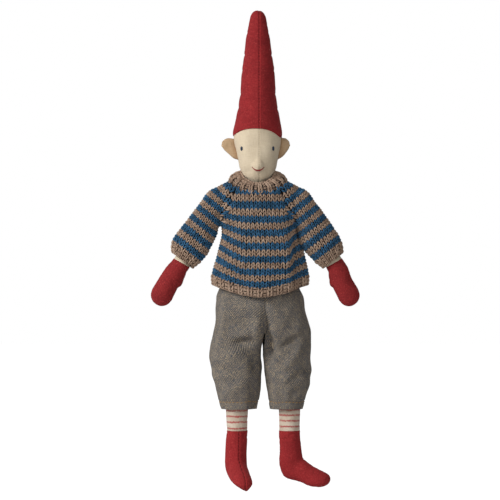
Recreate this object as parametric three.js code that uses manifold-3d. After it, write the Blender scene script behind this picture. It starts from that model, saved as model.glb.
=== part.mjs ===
// A pixie doll of stuffed cloth with a tall pointed hat, a knitted pullover, woven trousers,
// striped stockings and boots. Millimetres, +Z up, the face toward -Y, +X to the viewer's right.
// Heights in this file are above the toes. The finished doll is lowered by holdHeight at the end,
// so that the origin lies in the waist, where a hand or a doll stand holds it.
import * as THREE from 'three';
import Module from 'manifold-3d';

const wasm = await Module();
wasm.setup();

// Cloth, knitting and clearances
const linenThickness = 1.2;
const jerseyThickness = 1.2;
const knitThickness = 3;
const trouserThickness = 1.4;
const seamGap = 0.3;
const threadThickness = 0.7;
// A form runs this far past the line where it is cut off
const overrun = 12;

// Legs and boots
const ankleHeight = 32.3;
const bootShaft = 28.4;
const stockingLength = 38.3;
const thighLength = 68;
const shinWidth = 20.8;
const shinDepth = 21.4;
const kneeWidth = 24;
const ankleBend = 11.3;
const footTilt = 26;
const footReach = 38.8;
const footWidth = 19;
const footThickness = 19.4;
const heelReach = 3;
const heelBreadth = 9;
const toeLength = 8;
const toeWidth = 16.5;
const toeThickness = 15.5;
const leftFootTurn = 12;
const rightFootTurn = 78;
const hipWidth = 31;
const hipDepth = 31;
const hipSpacing = 38;
const legSpacing = 53.6;
const hipShift = 5.4;

// Torso and neck
const torsoLength = 121.2;
const seatRound = 1;
const waistWidth = 62;
const waistDepth = 40;
const chestWidth = 57;
const chestDepth = 36;
const neckWidth = 14;
const neckLength = 9;
const neckClearance = 0.5;

// Arms and mittens
const shoulderSpacing = 85.2;
const shoulderDrop = 10.6;
const armAngle = 30;
const armWidth = 19;
const armDepth = 15.8;
const armLength = 70.2;
const shoulderTabWidth = 14;
const mittenLength = 49;
const mittenWidth = 23.5;
const mittenDepth = 16;
const wristWidth = 18.4;
const handShift = 0.8;
const thumbLength = 19;
const thumbWidth = 9.4;
const thumbTilt = 10;
const thumbPlace = 4.5;

// Head, hat and ears
const faceHeight = 47;
const chinRound = 17;
const cheekRise = 33;
const cheekWidth = 43.6;
const cheekDepth = 41;
const jawRise = 12;
const jawWidth = 33;
const jawDepth = 32;
const noseReach = 5;
const noseRise = 18;
const noseBridge = 11;
const noseFoot = 5;
const hatHeight = 129.8;
const hatFootWidth = 46.6;
const hatFootDepth = 43;
const hatMiddleWidth = 33;
const hatUpperWidth = 25.4;
const hatTipWidth = 15;
const hatSeamArch = 7.6;
const earLength = 27;
const earWidth = 18;
const earThickness = 5;
const leftEarTilt = 34;
const rightEarTilt = 27;
const earRise = 21.5;
const eyeSpacing = 32.2;
const eyeRise = 35.3;
const eyeWidth = 2.4;
const eyeHeight = 4.2;
const mouthWidth = 11.6;
const mouthRise = 15.6;
const mouthCurve = 3;
const mouthStroke = 0.8;

// Pullover
const pulloverLength = 105.5;
const pulloverHemWidth = 100;
const pulloverHemDepth = 62;
const pulloverWaistRise = 33;
const pulloverWaistWidth = 88;
const pulloverWaistDepth = 58;
const pulloverChestWidth = 78;
const pulloverChestDepth = 52;
const yokeRise = 4;
const yokeWidth = 94;
const shoulderLineDrop = 6.5;
const shoulderLineWidth = 83;
const neckOpeningRise = 12.6;
const neckOpeningWidth = 57;
const neckOpeningDepth = 46;
const neckFrontDrop = 10.5;
const neckbandLap = 1;
const neckbandRise = 9;
const neckbandFrontDrop = 12;
const neckbandMiddleWidth = 53;
const neckbandMiddleDepth = 46;
const neckbandTopWidth = 38;
const neckbandTopDepth = 38;
const hemSag = 14;
const hemBackSag = 4;
const hemDepth = 12;
const sleeveTopWidth = 28.5;
const sleeveWidth = 33;
const sleeveDepth = 33;
const sleeveElbowWidth = 37.2;
const cuffClearance = 1.8;
const wristShow = 0.8;
const cuffDepth = 11;
const armpitDrop = 26;
const armpitHalfWidth = 37;
const sideLineAngle = 21.8;
const pulloverShift = 3;

// Trousers
const trouserRise = 43;
const seatWidth = 97;
const seatDepth = 54;
const trouserWaistWidth = 76;
const crotchDrop = 25;
const trouserKneeWidth = 51;
const trouserKneeDepth = 42;
const rightLegTake = 2.6;
const trouserEndWidth = 37.4;
const trouserEndDepth = 35;
const trouserInseam = 59;
const trouserHemDepth = 7.5;
const centreSeamShift = 4.1;
const elasticWidth = 6;
const elasticThickness = 1.2;

// The doll is gripped round the pullover at this height above the toes
const holdHeight = 236;

// Heights worked out from the sizes above
const bootTop = ankleHeight + bootShaft;
const kneeHeight = bootTop + stockingLength;
const hipHeight = kneeHeight + thighLength;
const torsoBottom = hipHeight + hipDepth / 2 - seatRound + seamGap;
const torsoTop = torsoBottom + torsoLength;
const shoulderHeight = torsoTop - shoulderDrop;
const chinHeight = torsoTop + neckLength + neckClearance * 2;
const hatSeam = chinHeight + faceHeight;
const hatTop = hatSeam + hatHeight;
const neckOpening = torsoTop + neckOpeningRise;
const pulloverHem = neckOpening - pulloverLength;
const armpitHeight = shoulderHeight - armpitDrop;
const crotchHeight = hipHeight - crotchDrop;
const trouserEnd = crotchHeight - trouserInseam;
const trouserWaist = hipHeight + trouserRise;
const sleeveLength = armLength - wristShow;
const sleeveEndWidth = wristWidth + 2 * (knitThickness + cuffClearance);
const sleeveEndDepth = armDepth + 2 * (knitThickness + cuffClearance);
const trouserWaistDepth = waistDepth + 2 * (elasticThickness + trouserThickness);

const degrees = Math.PI / 180;
const farAway = 200;

// A smooth curve through [height, value] pairs that never swings past them
function through(pairs) {
  const slope = (i) => (pairs[i + 1][1] - pairs[i][1]) / (pairs[i + 1][0] - pairs[i][0]);
  const tangent = (i) => {
    if (i === 0 || i === pairs.length - 1) return 0;
    const before = slope(i - 1);
    const after = slope(i);
    return before * after <= 0 ? 0 : (2 * before * after) / (before + after);
  };
  return (height) => {
    if (height <= pairs[0][0]) return pairs[0][1];
    if (height >= pairs[pairs.length - 1][0]) return pairs[pairs.length - 1][1];
    const i = pairs.findIndex((pair) => pair[0] > height) - 1;
    const span = pairs[i + 1][0] - pairs[i][0];
    const t = (height - pairs[i][0]) / span;
    const rise = t * t * (3 - 2 * t);
    const lead = t * (1 - t) * (1 - t) * span * tangent(i);
    const trail = t * t * (t - 1) * span * tangent(i + 1);
    return pairs[i][1] * (1 - rise) + pairs[i + 1][1] * rise + lead + trail;
  };
}

// Joins rings of points, closed by a point at each end, into one body
function loft(rings, first, last) {
  const around = rings[0].length;
  const positions = [...rings.flat(), first, last].flatMap((p) => [p.x, p.y, p.z]);
  const index = [];
  for (let j = 0; j < rings.length - 1; j += 1) {
    for (let i = 0; i < around; i += 1) {
      const a = j * around + i;
      const b = j * around + ((i + 1) % around);
      index.push(a, b, b + around, a, b + around, a + around);
    }
  }
  const start = rings.length * around;
  const end = (rings.length - 1) * around;
  for (let i = 0; i < around; i += 1) {
    const next = (i + 1) % around;
    index.push(start, next, i, start + 1, end + i, end + next);
  }
  const geometry = new THREE.BufferGeometry();
  geometry.setAttribute('position', new THREE.Float32BufferAttribute(positions, 3));
  geometry.setIndex(index);
  return geometry;
}

// Steps from one end of a form to the other: each end is rounded over its own cap length
function formSteps(bottom, top, bottomCap, topCap, steps, capSteps) {
  const levels = [];
  for (let i = 1; i <= capSteps; i += 1) {
    const turn = (i / capSteps) * 90 * degrees;
    levels.push({ height: bottom + bottomCap * (1 - Math.cos(turn)), swell: Math.sin(turn) });
  }
  for (let i = 1; i < steps; i += 1) {
    const from = bottom + bottomCap;
    levels.push({ height: from + ((top - topCap - from) * i) / steps, swell: 1 });
  }
  for (let i = capSteps; i >= 1; i -= 1) {
    const turn = (i / capSteps) * 90 * degrees;
    levels.push({ height: top - topCap * (1 - Math.cos(turn)), swell: Math.sin(turn) });
  }
  return levels;
}

// An upright stuffed form. width and depth follow the height, shift moves its middle sideways,
// relief(angle, height) raises its surface, and grow moves the whole surface outward.
function uprightForm(shape, grow = 0) {
  const { bottom, top, width, depth, bottomCap = 6, topCap = 6, steps = 6, capSteps = 3 } = shape;
  const { around = 16, shift = () => 0, relief = () => 0 } = shape;
  const levels = formSteps(bottom - grow, top + grow, bottomCap + grow, topCap + grow, steps, capSteps);
  const rings = levels.map(({ height, swell }) => {
    const ring = [];
    for (let i = 0; i < around; i += 1) {
      const angle = (i / around) * 2 * Math.PI;
      const raise = relief(angle, height) + grow;
      const x = (width(height) / 2 + raise) * swell * Math.cos(angle);
      const y = (depth(height) / 2 + raise) * swell * Math.sin(angle);
      ring.push(new THREE.Vector3(shift(height) + x, y, height));
    }
    return ring;
  });
  const first = new THREE.Vector3(shift(bottom), 0, bottom - grow);
  const last = new THREE.Vector3(shift(top), 0, top + grow);
  return loft(rings, first, last);
}

function toSolid(geometry) {
  const vertProperties = new Float32Array(geometry.attributes.position.array);
  const triVerts = new Uint32Array(geometry.index.array);
  return new wasm.Manifold(new wasm.Mesh({ numProp: 3, vertProperties, triVerts }));
}

function toGeometry(solid) {
  const mesh = solid.getMesh();
  const geometry = new THREE.BufferGeometry();
  geometry.setAttribute('position', new THREE.Float32BufferAttribute(mesh.vertProperties, 3));
  geometry.setIndex(Array.from(mesh.triVerts));
  geometry.computeVertexNormals();
  return geometry;
}

// A block between two corners, for cutting with
function block(low, high) {
  const size = new THREE.Vector3().subVectors(high, low);
  const box = new THREE.BoxGeometry(size.x, size.y, size.z);
  box.translate((low.x + high.x) / 2, (low.y + high.y) / 2, (low.z + high.z) / 2);
  return toSolid(welded(box));
}

// Everything between two heights
function slab(low, high) {
  return block(new THREE.Vector3(-farAway, -farAway, low), new THREE.Vector3(farAway, farAway, high));
}

function sideways(from, to) {
  return block(new THREE.Vector3(from, -farAway, -farAway), new THREE.Vector3(to, farAway, 4 * farAway));
}

function lengthways(from, to) {
  return block(new THREE.Vector3(-farAway, from, -farAway), new THREE.Vector3(farAway, to, 4 * farAway));
}

// Gives three.js geometry shared vertices, so that it can be cut
function welded(geometry) {
  const plain = geometry.index ? geometry.toNonIndexed() : geometry;
  const source = plain.attributes.position;
  const seen = new Map();
  const positions = [];
  const index = [];
  for (let i = 0; i < source.count; i += 1) {
    const point = [source.getX(i), source.getY(i), source.getZ(i)];
    const key = point.map((value) => Math.round(value * 1e4)).join();
    if (!seen.has(key)) {
      seen.set(key, positions.length / 3);
      positions.push(...point);
    }
    index.push(seen.get(key));
  }
  const result = new THREE.BufferGeometry();
  result.setAttribute('position', new THREE.Float32BufferAttribute(positions, 3));
  result.setIndex(index);
  return result;
}

// A flat outline in the X-Z plane, run from one depth to another
function frontPrism(outline, fromY, toY) {
  const geometry = new THREE.ExtrudeGeometry(outline, { depth: toY - fromY, bevelEnabled: false, curveSegments: 10 });
  geometry.rotateX(Math.PI / 2);
  geometry.translate(0, toY, 0);
  return toSolid(welded(geometry));
}

// A flat outline in the Y-Z plane, run across the whole doll
function sidePrism(outline) {
  const geometry = new THREE.ExtrudeGeometry(outline, { depth: 2 * farAway, bevelEnabled: false });
  geometry.applyMatrix4(new THREE.Matrix4().makeBasis(
    new THREE.Vector3(0, 1, 0), new THREE.Vector3(0, 0, 1), new THREE.Vector3(1, 0, 0)));
  geometry.translate(-farAway, 0, 0);
  return toSolid(welded(geometry));
}

function moved(solid, matrix) {
  const geometry = toGeometry(solid);
  geometry.applyMatrix4(matrix);
  return toSolid(geometry);
}

function cloth(name, color, roughness = 0.95) {
  return new THREE.MeshStandardMaterial({ name, color, roughness, metalness: 0 });
}

const faceLinen = cloth('face_linen', '#d0c0aa');
const bodyLinen = cloth('body_linen', '#c9bba4');
const hatRed = cloth('hat_red', '#902d2d');
const mittenRed = cloth('mitten_red', '#852726');
const bootRed = cloth('boot_red', '#912a2a');
const knitBlue = cloth('knit_blue', '#2f5f86');
const knitBeige = cloth('knit_beige', '#9a8170');
const trouserGrey = cloth('trouser_grey', '#716961');
const stockingLinen = cloth('stocking_linen', '#cbbbaa');
const stuffingWhite = cloth('stuffing', '#e6dfd2', 1);
const elasticWhite = cloth('elastic', '#dcd8d0', 0.8);
const threadNavy = cloth('thread_navy', '#1f2b44', 0.6);
const threadRed = cloth('thread_red', '#8e2a28', 0.6);

function piece(parent, name, solid, material) {
  const mesh = new THREE.Mesh(toGeometry(solid), material);
  mesh.name = name;
  parent.add(mesh);
  return mesh;
}

// Head and hat: one stuffed cone in four panels, with the nose as a bump in the centre seam
const headShape = {
  bottom: chinHeight,
  top: hatTop,
  bottomCap: chinRound,
  topCap: hatTipWidth / 2 - seamGap,
  steps: 13,
  around: 20,
  width: through([
    [chinHeight, jawWidth * 0.86],
    [chinHeight + jawRise, jawWidth],
    [chinHeight + cheekRise, cheekWidth],
    [hatSeam, hatFootWidth],
    [hatSeam + hatHeight * 0.24, hatFootWidth * 0.82],
    [hatSeam + hatHeight * 0.5, hatMiddleWidth],
    [hatSeam + hatHeight * 0.78, hatUpperWidth],
    [hatTop, hatTipWidth],
  ]),
  depth: through([
    [chinHeight, jawDepth * 0.86],
    [chinHeight + jawRise, jawDepth],
    [chinHeight + cheekRise, cheekDepth],
    [hatSeam, hatFootDepth],
    [hatSeam + hatHeight * 0.5, hatMiddleWidth * 0.9],
    [hatSeam + hatHeight * 0.78, hatUpperWidth * 0.9],
    [hatTop, hatTipWidth],
  ]),
  relief: (angle, height) => {
    const fromFront = Math.atan2(Math.sin(angle + Math.PI / 2), Math.cos(angle + Math.PI / 2));
    const beside = Math.exp(-((fromFront / 0.24) ** 2));
    const along = height - (chinHeight + noseRise);
    const reach = along > 0 ? noseBridge : noseFoot;
    return noseReach * beside * Math.exp(-((along / reach) ** 2));
  },
};

function headForm(grow) {
  return toSolid(uprightForm(headShape, grow));
}

// Above the arched line where the hat is sewn to the face
function aboveHatSeam(offset) {
  const outline = new THREE.Shape();
  const edge = hatFootWidth / 2;
  outline.moveTo(-farAway, hatSeam + offset);
  outline.lineTo(-edge, hatSeam + offset);
  outline.quadraticCurveTo(0, hatSeam + 2 * hatSeamArch + offset, edge, hatSeam + offset);
  outline.lineTo(farAway, hatSeam + offset);
  outline.lineTo(farAway, hatTop + farAway);
  outline.lineTo(-farAway, hatTop + farAway);
  return frontPrism(outline, -farAway, farAway);
}

const headGroup = new THREE.Group();
{
  const shell = headForm(0).subtract(headForm(-linenThickness));
  const hat = shell.intersect(aboveHatSeam(seamGap / 2));
  const face = shell.subtract(aboveHatSeam(-seamGap / 2));
  const leftSide = sideways(-farAway, -seamGap / 2);
  const rightSide = sideways(seamGap / 2, farAway);
  piece(headGroup, 'face_panel_left', face.intersect(leftSide), faceLinen);
  piece(headGroup, 'face_panel_right', face.intersect(rightSide), faceLinen);
  piece(headGroup, 'hat_panel_left', hat.intersect(leftSide), hatRed);
  piece(headGroup, 'hat_panel_right', hat.intersect(rightSide), hatRed);
  piece(headGroup, 'head_stuffing', headForm(-linenThickness - seamGap), stuffingWhite);
}

// Ears: flat padded drops, broad above and narrow where they end by the cheek
function ear(side, tilt) {
  const shape = {
    bottom: 0,
    top: earLength,
    bottomCap: 4,
    topCap: 9,
    steps: 4,
    around: 12,
    width: through([[0, earWidth * 0.5], [earLength * 0.35, earWidth * 0.85], [earLength, earWidth]]),
    depth: () => earThickness,
  };
  const place = new THREE.Matrix4().makeRotationY(side * tilt * degrees);
  place.setPosition(side * cheekWidth * 0.36, 1, chinHeight + earRise);
  return moved(toSolid(uprightForm(shape)), place).subtract(headForm(seamGap));
}

piece(headGroup, 'ear_left', ear(-1, leftEarTilt), faceLinen);
piece(headGroup, 'ear_right', ear(1, rightEarTilt), faceLinen);

// Stitched eyes and mouth: thin pads that lie on the face
function stitchedPad(outline) {
  const layer = headForm(seamGap + threadThickness).subtract(headForm(seamGap));
  return layer.intersect(frontPrism(outline, -farAway, 0));
}

function eye(side) {
  const outline = new THREE.Shape();
  outline.absellipse((side * eyeSpacing) / 2, chinHeight + eyeRise, eyeWidth / 2, eyeHeight / 2, 0, 2 * Math.PI);
  return stitchedPad(outline);
}

piece(headGroup, 'eye_left', eye(-1), threadNavy);
piece(headGroup, 'eye_right', eye(1), threadNavy);
{
  const outline = new THREE.Shape();
  const level = chinHeight + mouthRise;
  const under = level - mouthStroke;
  outline.moveTo(-mouthWidth / 2, level);
  outline.quadraticCurveTo(0, level - 2 * mouthCurve, mouthWidth / 2, level);
  outline.lineTo(mouthWidth / 2, under);
  outline.quadraticCurveTo(0, under - 2 * mouthCurve, -mouthWidth / 2, under);
  piece(headGroup, 'mouth', stitchedPad(outline), threadRed);
}

// Neck: a short rounded plug between the torso and the head
const neckShape = {
  bottom: torsoTop + neckClearance,
  top: chinHeight - neckClearance,
  bottomCap: neckLength / 2,
  topCap: neckLength / 2,
  steps: 1,
  around: 12,
  width: () => neckWidth,
  depth: () => neckWidth,
};
const neckGroup = new THREE.Group();
piece(neckGroup, 'neck', toSolid(uprightForm(neckShape)), bodyLinen);

// Torso: a linen bag of two panels round its stuffing, leaning a little over the hips
const torsoLean = through([[torsoBottom, hipShift], [shoulderHeight - shoulderTabWidth, 0]]);
const torsoShape = {
  bottom: torsoBottom,
  top: torsoTop,
  bottomCap: 5,
  topCap: 13,
  steps: 4,
  around: 16,
  shift: torsoLean,
  width: through([
    [torsoBottom, waistWidth * 0.95],
    [torsoBottom + torsoLength * 0.3, waistWidth],
    [shoulderHeight, chestWidth],
    [torsoTop, chestWidth * 0.82],
  ]),
  depth: through([
    [torsoBottom, waistDepth * 0.86],
    [torsoBottom + torsoLength * 0.3, waistDepth],
    [shoulderHeight, chestDepth],
    [torsoTop, chestDepth * 0.78],
  ]),
};

function torsoForm(grow) {
  return toSolid(uprightForm(torsoShape, grow));
}

const torsoGroup = new THREE.Group();
const frontSide = lengthways(-farAway, -seamGap / 2);
const backSide = lengthways(seamGap / 2, farAway);
{
  const cover = torsoForm(0).subtract(torsoForm(-linenThickness));
  piece(torsoGroup, 'torso_cover_front', cover.intersect(frontSide), bodyLinen);
  piece(torsoGroup, 'torso_cover_back', cover.intersect(backSide), bodyLinen);
  piece(torsoGroup, 'torso_stuffing', torsoForm(-linenThickness - seamGap), stuffingWhite);
}

// Arms hang from the shoulders at armAngle. In its own frame an arm runs down from the shoulder.
// The hand hangs a little straighter than the sleeve, so it shifts inward toward its tip.
const armShape = {
  bottom: -armLength - mittenLength,
  top: armWidth / 2,
  bottomCap: mittenWidth / 2,
  topCap: armWidth / 2,
  steps: 5,
  around: 12,
  width: through([
    [-armLength - mittenLength * 0.6, mittenWidth],
    [-armLength, wristWidth],
    [0, armWidth],
  ]),
  depth: through([
    [-armLength - mittenLength * 0.6, mittenDepth],
    [-armLength, armDepth],
    [0, armDepth],
  ]),
};
const thumbShape = {
  bottom: -thumbLength,
  top: 0,
  bottomCap: thumbWidth / 2,
  topCap: thumbWidth / 2,
  steps: 2,
  capSteps: 2,
  around: 8,
  width: () => thumbWidth,
  depth: () => thumbWidth,
};

function armForm(side, grow) {
  const shift = through([[-armLength - mittenLength, -side * handShift], [-armLength - mittenLength * 0.4, 0]]);
  const thumbTurn = new THREE.Matrix4().makeRotationY(side * thumbTilt * degrees);
  thumbTurn.setPosition(-side * (wristWidth / 2 - thumbWidth * 0.3), 0, -armLength - thumbPlace);
  const thumb = moved(toSolid(uprightForm(thumbShape, grow)), thumbTurn);
  return toSolid(uprightForm({ ...armShape, shift }, grow)).add(thumb);
}

function shoulderPlace(side) {
  const place = new THREE.Matrix4().makeRotationY(-side * armAngle * degrees);
  place.setPosition((side * shoulderSpacing) / 2, 0, shoulderHeight);
  return place;
}

// Pullover: body and sleeves are one knitted hull, divided along the raglan lines
const pulloverLean = through([
  [pulloverHem, 2],
  [pulloverHem + pulloverLength * 0.35, pulloverShift],
  [shoulderHeight, 0],
]);
const pulloverShape = {
  bottom: pulloverHem - hemSag - overrun,
  top: neckOpening + overrun,
  bottomCap: 1,
  topCap: 1,
  steps: 11,
  capSteps: 1,
  around: 20,
  shift: pulloverLean,
  width: through([
    [pulloverHem, pulloverHemWidth],
    [pulloverHem + pulloverWaistRise, pulloverWaistWidth],
    [armpitHeight, pulloverChestWidth],
    [shoulderHeight + yokeRise, yokeWidth],
    [neckOpening - shoulderLineDrop, shoulderLineWidth],
    [neckOpening, neckOpeningWidth],
  ]),
  depth: through([
    [pulloverHem, pulloverHemDepth],
    [pulloverHem + pulloverWaistRise, pulloverWaistDepth],
    [armpitHeight, pulloverChestDepth],
    [neckOpening, neckOpeningDepth],
  ]),
};
const sleeveShape = {
  bottom: -sleeveLength - overrun,
  top: sleeveDepth / 2,
  bottomCap: 1,
  topCap: sleeveDepth / 2,
  steps: 7,
  around: 14,
  width: through([
    [-sleeveLength, sleeveEndWidth],
    [-sleeveLength + cuffDepth, sleeveElbowWidth * 0.92],
    [-sleeveLength * 0.7, sleeveElbowWidth],
    [-sleeveLength * 0.3, sleeveWidth],
    [0, sleeveTopWidth],
  ]),
  depth: through([
    [-sleeveLength, sleeveEndDepth],
    [-sleeveLength + cuffDepth, sleeveDepth * 0.88],
    [-sleeveLength * 0.7, sleeveDepth],
    [0, sleeveDepth],
  ]),
};
// Soft folds of a sleeve cross it below the armpit and at the elbow
const sleeveFolds = [
  { angle: 0, height: -sleeveLength * 0.35, slope: 6, breadth: 4.5, spread: 1.3, depth: -1.6 },
  { angle: 0.4, height: -sleeveLength * 0.6, slope: -5, breadth: 4.5, spread: 1.2, depth: -1.4 },
];

// How far folded cloth is raised at an angle round its form
function folded(folds, side) {
  return (angle, height) => {
    const turned = side > 0 ? Math.PI - angle : angle;
    return folds.reduce((sum, fold) => {
      const away = Math.atan2(Math.sin(turned - fold.angle), Math.cos(turned - fold.angle));
      const across = (height - fold.height - fold.slope * away) / fold.breadth;
      return sum + fold.depth * Math.exp(-(across ** 2) - (away / fold.spread) ** 2);
    }, 0);
  };
}

function sleeveForm(side, grow) {
  return toSolid(uprightForm({ ...sleeveShape, relief: folded(sleeveFolds, side) }, grow));
}

function pulloverHull(grow) {
  const left = moved(sleeveForm(-1, grow), shoulderPlace(-1));
  const right = moved(sleeveForm(1, grow), shoulderPlace(1));
  return toSolid(uprightForm(pulloverShape, grow)).add(left).add(right);
}

// Everything on the sleeve's side of the raglan line, which runs from the neckband to the armpit
// and on between sleeve and side
function sleeveSide(side, offset) {
  const at = (half, height) => new THREE.Vector2(
    pulloverLean(height) + side * (half + offset), height);
  const high = neckOpening + 2 * overrun;
  const low = armpitHeight - sleeveLength;
  const outline = new THREE.Shape([
    at(neckOpeningWidth * 0.3, high),
    at(neckOpeningWidth * 0.38, neckOpening - knitThickness),
    at(armpitHalfWidth, armpitHeight),
    at(armpitHalfWidth + sleeveLength * Math.tan(sideLineAngle * degrees), low),
    at(farAway, low),
    at(farAway, high),
  ]);
  return frontPrism(outline, -farAway, farAway);
}

// Everything above the neck opening, which dips in front
function aboveNeck(offset) {
  const slope = neckFrontDrop / (neckOpeningDepth / 2);
  const outline = new THREE.Shape([
    new THREE.Vector2(-farAway, neckOpening + offset - slope * farAway),
    new THREE.Vector2(0, neckOpening + offset),
    new THREE.Vector2(farAway, neckOpening + offset),
    new THREE.Vector2(farAway, neckOpening + farAway),
    new THREE.Vector2(-farAway, neckOpening + farAway),
  ]);
  return sidePrism(outline);
}

// Everything below a line round the hem that hangs lower in the middle than at the sides
function belowHem(offset) {
  const edge = pulloverHemWidth / 2;
  const middle = pulloverLean(pulloverHem);
  const side = (sag, fromY, toY) => {
    const outline = new THREE.Shape();
    outline.moveTo(middle - farAway, pulloverHem + offset);
    outline.lineTo(middle - edge, pulloverHem + offset);
    outline.quadraticCurveTo(middle, pulloverHem + offset - 2 * sag, middle + edge, pulloverHem + offset);
    outline.lineTo(middle + farAway, pulloverHem + offset);
    outline.lineTo(middle + farAway, -farAway);
    outline.lineTo(middle - farAway, -farAway);
    return frontPrism(outline, fromY, toY);
  };
  return side(hemSag, -farAway, 0).add(side(hemBackSag, 0, farAway));
}

const pulloverShell = pulloverHull(0).subtract(pulloverHull(-knitThickness));
{
  const body = pulloverShell
    .subtract(sleeveSide(-1, -seamGap / 2))
    .subtract(sleeveSide(1, -seamGap / 2))
    .subtract(aboveNeck(-seamGap));
  const panels = body.subtract(belowHem(hemDepth + seamGap / 2));
  piece(torsoGroup, 'sweater_front', panels.intersect(frontSide), knitBlue);
  piece(torsoGroup, 'sweater_back', panels.intersect(backSide), knitBlue);
  const welt = body.intersect(belowHem(hemDepth - seamGap / 2)).subtract(belowHem(0));
  piece(torsoGroup, 'sweater_hem', welt, knitBeige);
}

// Neckband: a standing ribbed ring that leans in round the chin and dips in front
{
  const around = 24;
  const path = (width, depth, level, dip, angle) => {
    const front = Math.max(0, -Math.sin(angle));
    return new THREE.Vector3(
      (width / 2) * Math.cos(angle), (depth / 2) * Math.sin(angle), level - dip * front);
  };
  const foot = neckOpening - neckbandLap;
  const top = neckOpening + neckbandRise;
  const middle = (foot + top) / 2;
  const middleDrop = (neckFrontDrop + neckbandFrontDrop) / 2;
  const inset = 2 * knitThickness;
  const ring = (width, depth, level, dip) => {
    const points = [];
    for (let i = 0; i < around; i += 1) {
      points.push(path(width, depth, level, dip, (i / around) * 2 * Math.PI));
    }
    return points;
  };
  const loops = [
    ring(neckOpeningWidth, neckOpeningDepth, foot, neckFrontDrop),
    ring(neckbandMiddleWidth, neckbandMiddleDepth, middle, middleDrop),
    ring(neckbandTopWidth, neckbandTopDepth, top, neckbandFrontDrop),
    ring(neckbandTopWidth - inset, neckbandTopDepth - inset, top, neckbandFrontDrop),
    ring(neckbandMiddleWidth - inset, neckbandMiddleDepth - inset, middle, middleDrop),
    ring(neckOpeningWidth - inset, neckOpeningDepth - inset, foot, neckFrontDrop),
  ];
  const positions = loops.flat().flatMap((p) => [p.x, p.y, p.z]);
  const index = [];
  for (let j = 0; j < loops.length; j += 1) {
    const below = j * around;
    const above = ((j + 1) % loops.length) * around;
    for (let i = 0; i < around; i += 1) {
      const next = (i + 1) % around;
      index.push(below + i, below + next, above + next, below + i, above + next, above + i);
    }
  }
  const geometry = new THREE.BufferGeometry();
  geometry.setAttribute('position', new THREE.Float32BufferAttribute(positions, 3));
  geometry.setIndex(index);
  const band = toSolid(geometry).intersect(aboveNeck(0)).subtract(headForm(seamGap));
  piece(torsoGroup, 'sweater_neckband', band, knitBeige);
}

// The pieces of each arm
const armGroups = {};
for (const [side, name] of [[-1, 'left'], [1, 'right']]) {
  const place = shoulderPlace(side);
  const arm = new THREE.Group();
  arm.position.setFromMatrixPosition(place);
  arm.quaternion.setFromRotationMatrix(place);
  armGroups[name] = arm;

  const cover = armForm(side, 0).subtract(armForm(side, -linenThickness));
  piece(arm, `arm_cover_${name}`, cover.intersect(slab(-armLength + seamGap, farAway)), bodyLinen);
  piece(arm, `mitten_${name}`, cover.intersect(slab(-farAway, -armLength)), mittenRed);
  piece(arm, `arm_stuffing_${name}`, armForm(side, -linenThickness - seamGap), stuffingWhite);

  const sleeve = pulloverShell.intersect(sleeveSide(side, seamGap / 2)).subtract(aboveNeck(-seamGap));
  const ownSleeve = moved(sleeve, place.clone().invert());
  const cuffTop = -sleeveLength + cuffDepth;
  piece(arm, `sweater_sleeve_${name}`, ownSleeve.intersect(slab(cuffTop + seamGap, farAway)), knitBlue);
  piece(arm, `sweater_cuff_${name}`, ownSleeve.intersect(slab(-sleeveLength, cuffTop)), knitBeige);
}

// The gathered tab by which each arm is sewn to the torso, round about the axis it swings on
const shoulderGroups = {};
for (const [side, name] of [[-1, 'left'], [1, 'right']]) {
  const inner = chestWidth / 2 + seamGap;
  const outer = (shoulderSpacing - armWidth) / 2 - seamGap;
  const radius = shoulderTabWidth / 2;
  const rim = (outer - inner) / 4;
  const profile = [
    new THREE.Vector2(0, inner),
    new THREE.Vector2(radius - rim, inner),
    new THREE.Vector2(radius, inner + rim),
    new THREE.Vector2(radius, outer - rim),
    new THREE.Vector2(radius - rim, outer),
    new THREE.Vector2(0, outer),
  ];
  const tab = new THREE.LatheGeometry(profile, 16);
  tab.rotateZ(-side * 90 * degrees);
  tab.translate(0, 0, shoulderHeight);
  shoulderGroups[name] = new THREE.Group();
  piece(shoulderGroups[name], `shoulder_tab_${name}`, toSolid(welded(tab)), bodyLinen);
}

// Trousers: the seat and both legs are one woven hull, divided at the centre seam
const trouserFolds = [
  { angle: -1.2, height: crotchHeight + 8, slope: 9, breadth: 4.5, spread: 0.9, depth: 2 },
  { angle: -0.5, height: crotchHeight - 16, slope: -8, breadth: 5, spread: 0.8, depth: 1.6 },
  { angle: -2.4, height: crotchHeight - 2, slope: 7, breadth: 6, spread: 0.9, depth: 1.8 },
  { angle: 2.2, height: crotchHeight - 8, slope: 8, breadth: 6, spread: 1, depth: 1.6 },
];

// The right leg is narrower by rightLegTake, because its cloth is folded under at the back
function trouserLegShape(side) {
  const take = side > 0 ? rightLegTake : 0;
  const middle = hipShift + (side * legSpacing) / 2 - take / 4;
  const inner = centreSeamShift + side * ((trouserKneeWidth - take) / 2 + seamGap);
  return {
    bottom: trouserEnd - overrun,
    top: hipHeight + trouserRise / 3,
    bottomCap: 1,
    topCap: trouserRise / 3,
    steps: 8,
    capSteps: 2,
    around: 16,
    shift: through([
      [trouserEnd, middle - side * 2],
      [crotchHeight - trouserInseam / 4, inner],
      [hipHeight, inner],
    ]),
    width: through([
      [trouserEnd, trouserEndWidth - take / 2],
      [trouserEnd + trouserInseam * 0.37, trouserKneeWidth * 0.91 - take],
      [crotchHeight, trouserKneeWidth - take],
      [hipHeight, trouserKneeWidth * 0.96 - take],
    ]),
    depth: through([
      [trouserEnd, trouserEndDepth],
      [crotchHeight, trouserKneeDepth],
      [hipHeight, trouserKneeDepth],
    ]),
    relief: folded(trouserFolds, side),
  };
}

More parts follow.
